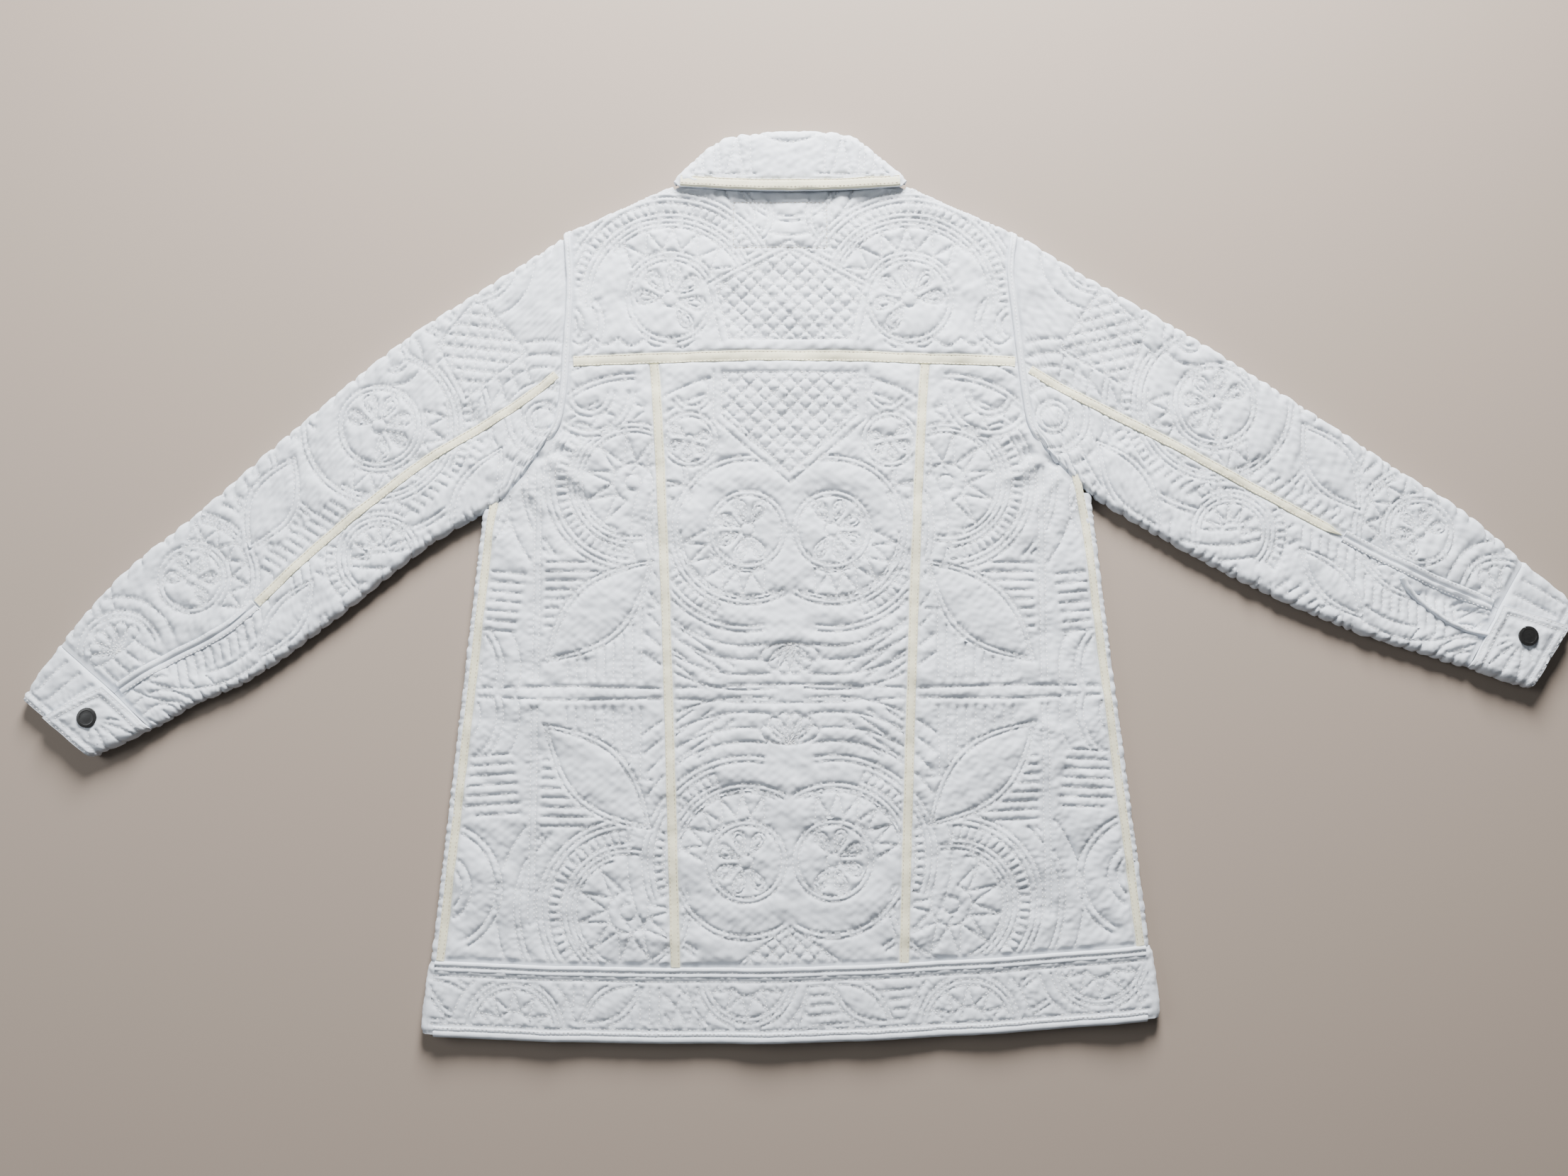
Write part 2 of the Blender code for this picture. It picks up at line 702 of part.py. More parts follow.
def build_yoke():
    half = SEAM_GAP / 2
    left_edge, left_folds = shoulder_outline(-1)
    right_edge, right_folds = shoulder_outline(1)
    left_arm = armhole_run(-1, yoke_seam_y(-195) + 5, 246, half)
    right_arm = armhole_run(1, yoke_seam_y(200) + 5, 248, half)
    seam = resample(yoke_seam_path(half, left_arm[-1][0], right_arm[-1][0]), EDGE_STEP)
    outline = seam + right_arm[::-1] + right_edge[::-1] + neck_path()[::-1] + left_edge + left_arm
    margin = EDGE_STITCH + 6

    def quilted(point):
        side = 1 if point[0] > 0 else -1
        flat = shoulder_path(side, FOLD_RADIUS + 2)
        distance, foot, normal = nearest_on(flat, point)
        return (Vector(point) - foot).dot(normal * side) < 0 and point[1] < collar_edge_y(point[0])

    def allowed(point):
        return (inside(point, outline) and quilted(point) and point[1] > yoke_seam_y(point[0]) + margin
                and min(nearest_on(ARMHOLE[side], point)[0] for side in (-1, 1)) > margin
                and point[1] < collar_edge_y(point[0]) - 6)

    lines = clipped(body_motifs(), allowed)
    wall("back_yoke", outline, yoke_place, BACK_WALL, CLOTH, lines, left_folds + right_folds, quilted)


def build_back_centre():
    half = SEAM_GAP / 2
    left = [(back_seam_x(-1, y) + half, y) for y in panel_heights()]
    right = [(back_seam_x(1, y) - half, y) for y in panel_heights()]
    top = yoke_seam_path(-half, left[-1][0], right[-1][0])[1:-1]
    bottom = resample([left[0], right[0]], EDGE_STEP)[1:-1]
    outline = bottom + right + top[::-1] + left[::-1]
    margin = EDGE_STITCH + 6

    def allowed(point):
        x, y = point
        return (abs(x) < abs(back_seam_x(1, y)) - margin
                and HEM_SEAM_Y + margin < y < yoke_seam_y(x) - margin)

    lines = clipped(body_motifs(), allowed)
    wall("back_centre", outline, back_place, BACK_WALL, CLOTH, lines, (), lambda p: True, 40.0)


def panel_heights():
    """Heights down the seams between the back's three panels."""
    half = SEAM_GAP / 2
    low = HEM_SEAM_Y + half
    high = yoke_seam_y(BACK_SEAM_TOP_X) - half
    return [low + (high - low) * i / SEAM_ROWS for i in range(SEAM_ROWS + 1)]


def underarm_path(side, inset):
    """The edge of the body under the sleeve, from the armhole notch to the side fold."""
    sleeve = Sleeve(side)
    points = [row[1] for row in sleeve.ends if abs(row[1][0]) < abs(side_x(side, CHEST_Y)) - 2]
    return offset_path(points, -inset * side)


def build_back_side(side, name):
    half = SEAM_GAP / 2
    inner = [(back_seam_x(side, y) + side * half, y) for y in panel_heights()]
    under = underarm_path(side, 1.2)
    arm = armhole_run(side, under[0][1] + 6, yoke_seam_y(side * 200) - 4, half)
    top_y = CHEST_Y - 3
    outer_ys = [top_y + (HEM_SEAM_Y + half - top_y) * i / 16 for i in range(17)]
    outer = [(side_x(side, y) - side * (SIDE_SEAM_INSET + half), y) for y in outer_ys]
    corner_x = armhole_x(side, yoke_seam_y(side * 200)) - side * half
    top = [(x, yoke_seam_y(x) - half) for x in
           [corner_x + (inner[-1][0] - corner_x) * i / 5 for i in range(6)]]
    bottom = resample([outer[-1], inner[0]], EDGE_STEP)[1:-1]
    under = [p for p in under if abs(p[0]) < abs(outer[0][0]) - 2]
    outline = inner + top[1:-1][::-1] + [top[0]] + arm + under + outer + bottom
    margin = EDGE_STITCH + 6

    def allowed(point):
        x, y = point
        return (inside(point, outline) and abs(x) > abs(back_seam_x(side, y)) + margin
                and abs(x) < abs(side_x(side, y)) - SIDE_SEAM_INSET - margin
                and HEM_SEAM_Y + margin < y < yoke_seam_y(x) - margin
                and nearest_on(ARMHOLE[side], point)[0] > margin
                and nearest_on(under, point)[0] > margin)

    lines = clipped(body_motifs(), allowed)
    wall(name, outline, back_place, BACK_WALL, CLOTH, lines, (), lambda p: True)


# Fronts
def front_lift(side, x):
    """The left front rises over the right one at the centre."""
    if side > 0:
        return 0.0
    return FRONT_LIFT * smooth_step((x + LIFT_START) / (LIFT_START - FRONT_OVERLAP - 2))


def front_place(side):
    def place(u, v, out):
        flat = abs(side_x(side, min(v, CHEST_Y))) - FOLD_RADIUS
        past = side * u - flat
        if past <= 0 or v > CHEST_Y + 1:
            return (u, v, front_lift(side, u) - out)
        angle = min(math.pi, past / FOLD_RADIUS)
        run = max(0.0, past - math.pi * FOLD_RADIUS)
        x = flat + (FOLD_RADIUS + out) * math.sin(angle) - run
        return (side * x, v, FOLD_RADIUS - (FOLD_RADIUS + out) * math.cos(angle))
    return place


def build_front(side, name):
    """A front on the surface, its side edge folded up and over to the side seam."""
    half = SEAM_GAP / 2
    top_y = CHEST_Y - 3
    strip_width = SIDE_SEAM_INSET - FOLD_RADIUS - half
    bend = [math.pi * FOLD_RADIUS * f for f in BEND_SHARES]

    def fold_u(y, past):
        return side * (abs(side_x(side, y)) - FOLD_RADIUS + past)

    outer_ys = [HEM_SEAM_Y + half + (top_y - HEM_SEAM_Y - half) * i / 8 for i in range(9)]
    centre = -side * FRONT_OVERLAP
    ramp = [-LIFT_START, -26, -FRONT_OVERLAP - 2] if side < 0 else []
    hem_u = [fold_u(outer_ys[0], b) for b in bend]
    inner_u = max(abs(x) for x in ramp + [centre])
    hem_run = resample([(side * inner_u, outer_ys[0]), (hem_u[0], outer_ys[0])], PLAIN_STEP)[1:]
    hem_run += [(u, outer_ys[0]) for u in hem_u[1:]]
    seam_run = [(fold_u(y, bend[-1] + strip_width), y) for y in outer_ys]
    top_run = [(fold_u(top_y, b), top_y) for b in reversed(bend)]
    under = underarm_path(side, 1.2)
    arm = armhole_run(side, under[0][1] + 6, 246, half)
    shoulder = [(side * (SHOULDER_POINT[0] - 5), SHOULDER_POINT[1] - 3.5),
                (side * (NECK_POINT[0] - 6), NECK_POINT[1] - 3)]
    neck = [(side * x, y) for x, y in FRONT_NECK]
    edge = [(centre, FRONT_NECK_DEPTH), (centre, 120), (centre, 0), (centre, -130), (centre, -260)]
    under = [p for p in under if abs(p[0]) < abs(fold_u(top_y, 0)) - 2]
    outline = [(centre, outer_ys[0])] + [(x, outer_ys[0]) for x in reversed(ramp)]
    outline += hem_run + seam_run + top_run + under[::-1] + arm[::-1] + shoulder + neck + edge
    folds = [[(fold_u(y, b), y) for y in outer_ys] for b in bend]
    folds += [[(x, y) for y in range(-320, 220, 60)] for x in ramp]
    wall(name, outline, front_place(side), FRONT_WALL, CLOTH, (), folds)


# Sleeves
class Sleeve:
    """A flattened tube between two silhouette edges, read at even stations."""

    def __init__(self, side):
        self.side = side
        rows = spline(SLEEVE_ROWS[side], SLEEVE_STATIONS)
        self.ends = [((r[0], r[1]), (r[2], r[3])) for r in rows]
        self.seams = [r[4] for r in rows]
        self.radii = [r[5] for r in rows]
        self.along = [0.0]
        for (u0, l0), (u1, l1) in zip(self.ends, self.ends[1:]):
            self.along.append(self.along[-1] + (math.dist(u0, u1) + math.dist(l0, l1)) / 2)
        self.length = self.along[-1]

    def at(self, t):
        """Upper point, lower point, width, seam share and radius at a length from the armhole."""
        t = min(self.length, max(0.0, t))
        k = max(i for i in range(len(self.along) - 1) if self.along[i] <= t or i == 0)
        f = (t - self.along[k]) / (self.along[k + 1] - self.along[k])
        upper = Vector(self.ends[k][0]).lerp(Vector(self.ends[k + 1][0]), f)
        lower = Vector(self.ends[k][1]).lerp(Vector(self.ends[k + 1][1]), f)
        seam = self.seams[k] + (self.seams[k + 1] - self.seams[k]) * f
        radius = self.radii[k] + (self.radii[k + 1] - self.radii[k]) * f
        return upper, lower, (lower - upper).length, seam, radius

    def bow(self, t, share):
        """How far the sleeve's start follows the curved armhole, off the straight section."""
        upper, lower = Vector(self.ends[0][0]), Vector(self.ends[0][1])
        chord = upper.lerp(lower, min(1.0, max(0.0, share)))
        return (armhole_x(self.side, chord.y) - chord.x) * (1 - smooth_step(t / ARMHOLE_REACH))

    def find(self, x, y):
        """The length along the sleeve and the share across of a place in plan."""
        t, share = self.find_straight(x, y)
        for _ in range(3):
            t, share = self.find_straight(x - self.bow(t, share), y)
        return t, share

    def find_straight(self, x, y):
        low, high = 0.0, self.length
        for _ in range(26):
            t = (low + high) / 2
            upper, lower = self.at(t)[:2]
            across = lower - upper
            away = Vector((x, y)) - upper
            turn = across.x * away.y - across.y * away.x
            if turn * self.side > 0:
                low = t
            else:
                high = t
        upper, lower, width, _, _ = self.at(t)
        share = (Vector((x, y)) - upper).dot(lower - upper) / width ** 2
        return t, share

    def drape(self, t, share):
        """How far the top lies below its folded edges, with the soft creases across it."""
        low = SLEEVE_SAG * math.sin(math.pi * min(1.0, max(0.0, share))) ** 2
        crease = 0.35 * math.sin(t / 27.0 + 3 * share) * math.sin(math.pi * min(1.0, max(0.0, share)))
        return -low + crease

    def top(self, x, y):
        t, share = self.find(x, y)
        return 2 * self.at(t)[4] + self.drape(t, share)

    def place(self, q, t, out, from_upper):
        """A place on the tube: q runs from the fold's outermost line, above it if positive."""
        upper, lower, width, _, radius = self.at(t)
        across = (lower - upper) / width
        if not from_upper:
            upper, across = lower, -across
        quarter = math.pi * radius / 2
        angle = max(-math.pi / 2, min(math.pi / 2, q / radius))
        run = max(0.0, abs(q) - quarter)
        reach = radius - (radius + out) * math.cos(angle) + run
        spot = upper + across * reach
        height = radius + (radius + out) * math.sin(angle)
        share = reach / width if from_upper else 1 - reach / width
        if q > 0:
            height += self.drape(t, share) * smooth_step(run / 20)
        return (spot.x + self.bow(t, share), spot.y, height)

    def to_flat(self, x, y, from_upper):
        """The flat plan place, q and t, of a place on the top seen in plan."""
        t, share = self.find(x, y)
        _, _, width, _, radius = self.at(t)
        reach = width * (share if from_upper else 1 - share)
        return (reach - radius + math.pi * radius / 2, t)


def build_sleeve_half(side, name, from_upper):
    sleeve = Sleeve(side)
    half = SEAM_GAP / 2
    start, end = ARMHOLE_CLEARANCE, sleeve.length - SEAM_GAP
    stations = [start] + sleeve.along[1:-1] + [end]

    def seam_q(t):
        _, _, width, seam, radius = sleeve.at(t)
        reach = width * (seam if from_upper else 1 - seam) - half
        return reach - radius + math.pi * radius / 2

    def under_q(t):
        _, _, width, _, radius = sleeve.at(t)
        reach = width * (UNDER_SEAM if from_upper else 1 - UNDER_SEAM) - half
        return -(reach - radius + math.pi * radius / 2)

    def bend(t):
        radius = sleeve.at(t)[4]
        return [math.pi * radius * (f - 0.5) for f in BEND_SHARES]

    def end_row(t):
        top = resample([(bend(t)[-1], t), (seam_q(t), t)], EDGE_STEP)
        return [(under_q(t), t)] + [(q, t) for q in bend(t)[:-1]] + top

    first, last = end_row(start), end_row(end)
    outline = first + [(seam_q(t), t) for t in stations[1:-1]] + last[::-1]
    outline += [(under_q(t), t) for t in stations[-2:0:-1]]
    folds = [[(bend(t)[k], t) for t in stations] for k in range(len(BEND_SHARES))]
    margin = EDGE_STITCH + 6

    def quilted(point):
        return point[0] > bend(point[1])[-1] - 1

    def edged(point):
        return point[0] > bend(point[1])[-1] - 8

    def allowed(point):
        q, t = sleeve.to_flat(*point, from_upper)
        return bend(t)[-1] + 3 < q < seam_q(t) - margin and start + margin < t < end - margin

    lines = [[sleeve.to_flat(*p, from_upper) for p in line] for line in clipped(sleeve_motifs(side), allowed)]

    def place(q, t, out):
        return sleeve.place(q, t, out, from_upper)

    wall(name, outline, place, BACK_WALL, CLOTH, lines, folds, quilted, edged=edged)


def seam_plan(side, low, high, count):
    """The elbow seam seen in plan, between two shares of the sleeve's length."""
    sleeve = Sleeve(side)
    path = []
    for i in range(count):
        t = sleeve.length * (low + (high - low) * i / (count - 1))
        upper, lower, _, seam, _ = sleeve.at(t)
        spot = upper.lerp(lower, seam)
        path.append((spot.x + sleeve.bow(t, seam), spot.y))
    return path


def build_sleeve_trim(side, word):
    sleeve = Sleeve(side)
    strip(f"elbow_tape_{word}", seam_plan(side, 0.022, PLACKET_START, 17), TAPE_WIDTH, sleeve.top, TAPE)
    rows = []
    path = seam_plan(side, PLACKET_START + 0.004, 0.98, 9)
    profile = [(-1.0, 0.8), (-0.6, 1.6), (-0.12, 1.4), (0.0, 0.5), (0.12, 1.1), (0.6, 1.3), (1.0, 0.7)]
    for i, point in enumerate(path):
        along = (Vector(path[min(8, i + 1)]) - Vector(path[max(0, i - 1)])).normalized()
        width = PLACKET_WIDTH * (0.62 + 0.38 * min(1.0, i / 3))
        outer, inner = [], []
        for f, rise in profile:
            x = point[0] - along.y * width / 2 * f
            y = point[1] + along.x * width / 2 * f
            z = sleeve.top(x, y) + LIFT + PLACKET_RISE
            inner.append((x, y, z))
            outer.append((x, y, z + rise))
        rows.append((outer, inner))
    ribbon(f"sleeve_placket_{word}", rows, CLOTH)


# Cuffs
def cuff_section(side, f):
    """Corner points of the cuff at a share of its depth, and where its tab ends."""
    a, b = CUFF_ENDS[side]
    row = [p + (q - p) * f for p, q in zip(a, b)]
    return Vector(row[:2]), Vector(row[2:4]), row[4]


def tab_radius():
    return (2 * CUFF_HALF_HEIGHT + SEAM_GAP + CUFF_WALL) / 2


def build_cuff(side, name):
    """One band round the wrist, its tab end lying on its other end."""
    rows = []
    low, high = CUFF_HALF_HEIGHT, tab_radius()
    turns = [math.radians(a) for a in (90, 45, 0, -45, -90)]
    for k in range(5):
        upper, lower, tab = cuff_section(side, k / 4)
        width = (lower - upper).length
        across = (lower - upper) / width
        path = [(width * CUFF_UNDERLAP, 2 * low, 0, 1), (width * 0.4, 2 * low, 0, 1)]
        path += [(low - low * math.cos(a), low + low * math.sin(a), -math.cos(a), math.sin(a)) for a in turns]
        path += [(width * 0.5, 0, 0, -1)]
        path += [(width - high + high * math.cos(a), high + high * math.sin(a), math.cos(a), math.sin(a))
                 for a in reversed(turns)]
        path += [(width * (tab + 0.62 * (0.9 - tab)), 2 * high, 0, 1), (width * tab, 2 * high, 0, 1)]
        outer = [(*(upper + across * s), z) for s, z, _, _ in path]
        inner = [(*(upper + across * (s - nx * CUFF_WALL)), z - nz * CUFF_WALL) for s, z, nx, nz in path]
        rows.append((outer, inner))
    ribbon(name, rows, CLOTH)


def build_snap(side, name):
    """The dark domed cap of a snap, on the tab."""
    upper, lower, tab = cuff_section(side, SNAP_AT)
    across = (lower - upper).normalized()
    width = (lower - upper).length
    spot = upper + across * (width * tab + SNAP_INSET)
    base = 2 * tab_radius() + LIFT
    profile = [(1.0, 0.0), (1.0, 0.45), (0.86, 0.8), (0.5, 0.96)]
    count = 20
    points = []
    faces = []
    for share, rise in profile:
        points += [(spot.x + SNAP_RADIUS * share * math.cos(math.tau * i / count),
                    spot.y + SNAP_RADIUS * share * math.sin(math.tau * i / count),
                    base + SNAP_HEIGHT * rise) for i in range(count)]
    for k in range(len(profile) - 1):
        faces += [[k * count + i, k * count + (i + 1) % count,
                   (k + 1) * count + (i + 1) % count, (k + 1) * count + i] for i in range(count)]
    faces.append(list(range(count)))
    faces.append(list(range(count * (len(profile) - 1), count * len(profile))))
    add_object(name, points, faces, SNAP).data.shade_smooth()


# Collar
def collar_curve(inset):
    smooth = spline(COLLAR_OUTLINE, 21)
    return offset_path(smooth, -inset)


def collar_top(x, y):
    """The outside of the lying collar, lower towards its free edge."""
    distance = nearest_on(collar_curve(0.0), (x, y))[0]
    fall = smooth_step((distance - COLLAR_RADIUS) / 30.0)
    return 2 * COLLAR_RADIUS + 0.4 - 0.4 * fall


def collar_place(x, y, out):
    path = collar_curve(COLLAR_RADIUS)
    distance, foot, _ = nearest_on(path, (x, y))
    away = Vector((x, y)) - foot
    outside = not inside((x, y), path) and away.y > -0.01
    if not outside or distance < 0.01:
        return (x, y, collar_top(x, y) + out)
    outward = away.normalized()
    angle = distance / COLLAR_RADIUS
    spot = foot + outward * (COLLAR_RADIUS + out) * math.sin(angle)
    return (spot.x, spot.y, COLLAR_RADIUS + 0.4 * (1 - smooth_step(angle)) + (COLLAR_RADIUS + out) * math.cos(angle))


def build_collar():
    """The fall lying on the yoke, its roll turned down to the surface, and what is under it."""
    base = collar_curve(COLLAR_RADIUS)
    depth = COLLAR_RADIUS * COLLAR_WRAP
    rim = offset_path(base, depth)
    levels = [offset_path(base, depth * f) for f in (0.0, 0.35, 0.7)]
    tip_left, tip_right = base[0], base[-1]
    edge_xs = [tip_right[0] - 1 + (tip_left[0] - tip_right[0] + 2) * i / 14 for i in range(15)]
    edge = [(x, collar_edge_y(x)) for x in edge_xs]
    outline = rim + [level[-1] for level in reversed(levels)] + edge + [level[0] for level in levels]
    folds = levels
    margin = COLLAR_BINDING + 2
    binding_row = [(x, collar_edge_y(x) + margin) for x in range(-91, 92, 14)]

    def quilted(point):
        return inside(point, base) and point[1] > collar_edge_y(point[0]) + margin - 0.5

    def allowed(point):
        return (inside(point, base) and nearest_on(base, point)[0] > 4
                and point[1] > collar_edge_y(point[0]) + margin + 5)

    zigzag = [(-70 + 14 * i, 308 if i % 2 == 0 else 334) for i in range(11)]
    lines = [binding_row] + clipped([Motif([resample(zigzag, LINE_STEP)], lambda p: False)], allowed)
    wall("collar_fall", outline, collar_place, COLLAR_WALL, CLOTH, lines, folds, quilted)

    strip("collar_binding", [(x, collar_edge_y(x) + COLLAR_BINDING / 2 + 0.5) for x in range(-90, 91, 12)],
          COLLAR_BINDING, lambda x, y: 2 * COLLAR_RADIUS + 0.4, TAPE, wall_height=1.3)

    under = [p for p in collar_curve(COLLAR_FRONT_INSET) if p[1] > NECK_POINT[1] + 7]
    low_neck = FRONT_NECK + [(-x, y) for x, y in reversed(FRONT_NECK)]
    low_neck = offset_path(low_neck, -SEAM_GAP - 0.1)
    wall("collar_front", under + low_neck, lambda x, y, out: (x, y, -out), FRONT_WALL, CLOTH)

    stand_rows = []
    for i in range(15):
        x = -77 + 11 * i
        low_y = collar_edge_y(x) + NECK_SEAM_LAP + 0.6
        high_y = low_y + 22 * (1 - 0.5 * (x / 77) ** 2)
        low_z = 2 * FOLD_RADIUS - 2.8
        outer = [(x, low_y, low_z + 2.4), (x, high_y, low_z + 3.0)]
        inner = [(x, low_y, low_z), (x, high_y, low_z + 0.6)]
        stand_rows.append((outer, inner))
    ribbon("collar_stand", stand_rows, CLOTH)


# Hem band
def hem_side_x(side, y):
    return abs(side_x(side, y)) + 1.0


def hem_height(x, y):
    return back_height(x, HEM_SEAM_Y) + 0.6 * smooth_step((HEM_SEAM_Y - y) / 30)


def hem_place(u, v, out):
    side = 1 if u > 0 else -1
    radius = FOLD_RADIUS + 0.3
    flat = hem_side_x(side, v) - radius
    past = abs(u) - flat
    if past <= 0:
        return (u, v, hem_height(u, v) + out)
    angle = min(math.pi, past / radius)
    run = max(0.0, past - math.pi * radius)
    x = side * (flat + (radius + out) * math.sin(angle) - run)
    if run > 0:
        return (x, v, front_lift(side, x) - out)
    edge = hem_height(side * flat, v) - 2 * radius
    return (x, v, radius + (radius + out) * math.cos(angle) + edge * 0.5 * (1 + math.cos(angle)))


def build_hem():
    half = SEAM_GAP / 2
    radius = FOLD_RADIUS + 0.3
    high, low = HEM_SEAM_Y - half, HEM_Y
    bend = [math.pi * radius * f for f in BEND_SHARES]
    under_count = 6

    def row(v):
        result = []
        for side in (-1, 1):
            flat = hem_side_x(side, v) - radius
            end = 2 * flat + math.pi * radius + FRONT_OVERLAP
            turned = flat + math.pi * radius
            lift_us = [turned + flat - x for x in (LIFT_START, 26, FRONT_OVERLAP + 2)]
            outer = [flat + b for b in bend]
            stop = lift_us[0] if side < 0 else end
            outer += [turned + (stop - turned) * i / under_count for i in range(1, under_count)]
            outer += lift_us if side < 0 else []
            outer.append(end)
            result.append([side * u for u in outer])
        left, right = result
        flat_points = resample([(left[0], v), (right[0], v)], EDGE_STEP)
        return [(u, v) for u in reversed(left[1:])] + flat_points + [(u, v) for u in right[1:]]

    top, bottom = row(high), row(low)
    outline = bottom + top[::-1]
    levels = [low + (high - low) * i / 3 for i in range(4)]
    folds = [list(column) for column in zip(*(row(v) for v in levels))][1:-1]
    folds = [column for column in folds if abs(column[1][0]) > 290]
    welt_low = high - HEM_WELT_WIDTH - 2
    binding_high = low + HEM_BINDING_WIDTH
    rows = [[(x, welt_low) for x in range(-288, 289, 18)], [(x, binding_high) for x in range(-288, 289, 18)]]

    def quilted(point):
        return abs(point[0]) < 292 and binding_high - 1 < point[1] < welt_low + 1

    def allowed(point):
        return abs(point[0]) < 286 and binding_high + 5 < point[1] < welt_low - 5

    lines = rows + clipped(hem_motifs(), allowed)
    wall("hem_band", outline, hem_place, FRONT_WALL, CLOTH, lines, folds, quilted)

    count = 22
    ends = [-(hem_side_x(-1, HEM_SEAM_Y) - 5), hem_side_x(1, HEM_SEAM_Y) - 5]
    xs = [ends[0] + (ends[1] - ends[0]) * i / count for i in range(count + 1)]
    strip("hem_welt", [(x, high - HEM_WELT_WIDTH / 2 + 1.5) for x in xs], HEM_WELT_WIDTH,
          lambda x, y: max(hem_height(x, y), back_height(x, HEM_SEAM_Y)), CLOTH, 1.6, 0.3)
    binding = []
    for x in xs:
        z = hem_height(x, low) + LIFT
        drop = 1.0
        outer = [(x, low + HEM_BINDING_WIDTH - 2, z + 1.0), (x, low + 3, z + 1.5), (x, low - 1.4, z + 1.0),
                 (x, low - 2.2, z - 2.5), (x, low - 1.8, drop)]
        inner = [(x, low + HEM_BINDING_WIDTH - 2, z), (x, low + 3, z), (x, low - 0.35, z),
                 (x, low - 0.35, z - 2.5), (x, low - 0.35, drop)]
        binding.append((outer, inner))
    ribbon("hem_binding", binding, CLOTH)


# Seam tapes
def build_body_trim():
    strip("yoke_tape", yoke_seam_path(0.0, -190.5, 198.5), YOKE_TAPE_WIDTH, back_height, TAPE)
    for side, word in ((-1, "left"), (1, "right")):
        top = yoke_seam_y(BACK_SEAM_TOP_X) - YOKE_TAPE_WIDTH / 2 - 0.8
        bottom = HEM_SEAM_Y + 1.8
        ys = [top + (bottom - top) * i / SEAM_ROWS for i in range(SEAM_ROWS + 1)]
        path = [(back_seam_x(side, y), y) for y in ys]
        strip(f"back_tape_{word}", path, TAPE_WIDTH, back_height, TAPE, across=3)
        top = CHEST_Y - 4
        ys = [top + (bottom - top) * i / 16 for i in range(17)]
        path = [(side_x(side, y) - side * SIDE_SEAM_INSET, y) for y in ys]
        strip(f"side_tape_{word}", path, SIDE_TAPE_WIDTH, back_height, TAPE, across=3)
        sleeve = Sleeve(side)

        def highest(x, y, sleeve=sleeve):
            return max(back_height(x, y), sleeve.top(x, y), 2 * sleeve.at(0)[4]) + 0.4

        welt = [p for p in resample(ARMHOLE[side], 14) if 76 < p[1] < 250]
        strip(f"armhole_welt_{word}", welt, WELT_WIDTH, highest, TAPE, WELT_WALL, 0.6, 4)


def main():
    for old in list(bpy.data.objects):
        bpy.data.objects.remove(old, do_unlink=True)
    build_yoke()
    build_back_centre()
    for side, word in ((-1, "left"), (1, "right")):
        build_back_side(side, f"back_side_{word}")
        build_front(side, f"front_{word}")
        build_sleeve_half(side, f"sleeve_upper_{word}", True)
        build_sleeve_half(side, f"sleeve_under_{word}", False)
        build_sleeve_trim(side, word)
        build_cuff(side, f"cuff_{word}")
        build_snap(side, f"cuff_snap_{word}")
    build_collar()
    build_hem()
    build_body_trim()


main()
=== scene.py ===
"""Looks of a white quilted cotton jacket that lies face down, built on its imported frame.

Lengths inside the functions are in millimetres and become metres in the meshes. X runs to
the viewer's right, Y towards the collar, Z up from the surface that the jacket lies on.
"""

import functools
import math
from collections import namedtuple

import bmesh
import bpy
import numpy as np
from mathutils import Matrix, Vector
from mathutils.geometry import delaunay_2d_cdt
from mathutils.kdtree import KDTree


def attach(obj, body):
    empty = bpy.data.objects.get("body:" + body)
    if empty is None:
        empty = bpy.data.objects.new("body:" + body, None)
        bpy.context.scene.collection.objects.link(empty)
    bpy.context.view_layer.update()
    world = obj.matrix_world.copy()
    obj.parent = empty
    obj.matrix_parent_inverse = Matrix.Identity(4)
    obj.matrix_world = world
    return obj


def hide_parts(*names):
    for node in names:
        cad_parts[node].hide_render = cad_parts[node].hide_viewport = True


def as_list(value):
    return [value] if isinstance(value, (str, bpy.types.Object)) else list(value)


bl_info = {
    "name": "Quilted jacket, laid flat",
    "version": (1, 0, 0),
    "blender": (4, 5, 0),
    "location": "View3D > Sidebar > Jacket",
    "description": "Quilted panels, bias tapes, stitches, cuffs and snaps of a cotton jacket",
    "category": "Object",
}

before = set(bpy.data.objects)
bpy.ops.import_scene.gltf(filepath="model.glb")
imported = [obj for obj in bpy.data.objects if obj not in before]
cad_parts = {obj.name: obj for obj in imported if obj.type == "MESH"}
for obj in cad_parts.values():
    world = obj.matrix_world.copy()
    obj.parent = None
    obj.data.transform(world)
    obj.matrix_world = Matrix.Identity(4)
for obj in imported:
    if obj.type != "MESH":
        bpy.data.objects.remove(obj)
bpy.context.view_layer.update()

MM = 0.001
SIDES = ((-1, "left"), (1, "right"))

# Photograph
PHOTO_WIDTH = 2212
PHOTO_FOCAL = 1661.0            # in the photograph's pixels
CAMERA_TARGET = (-0.005, -0.062, 0.0)
CAMERA_DISTANCE = 1.03
CAMERA_TILT = math.radians(5)   # from straight down

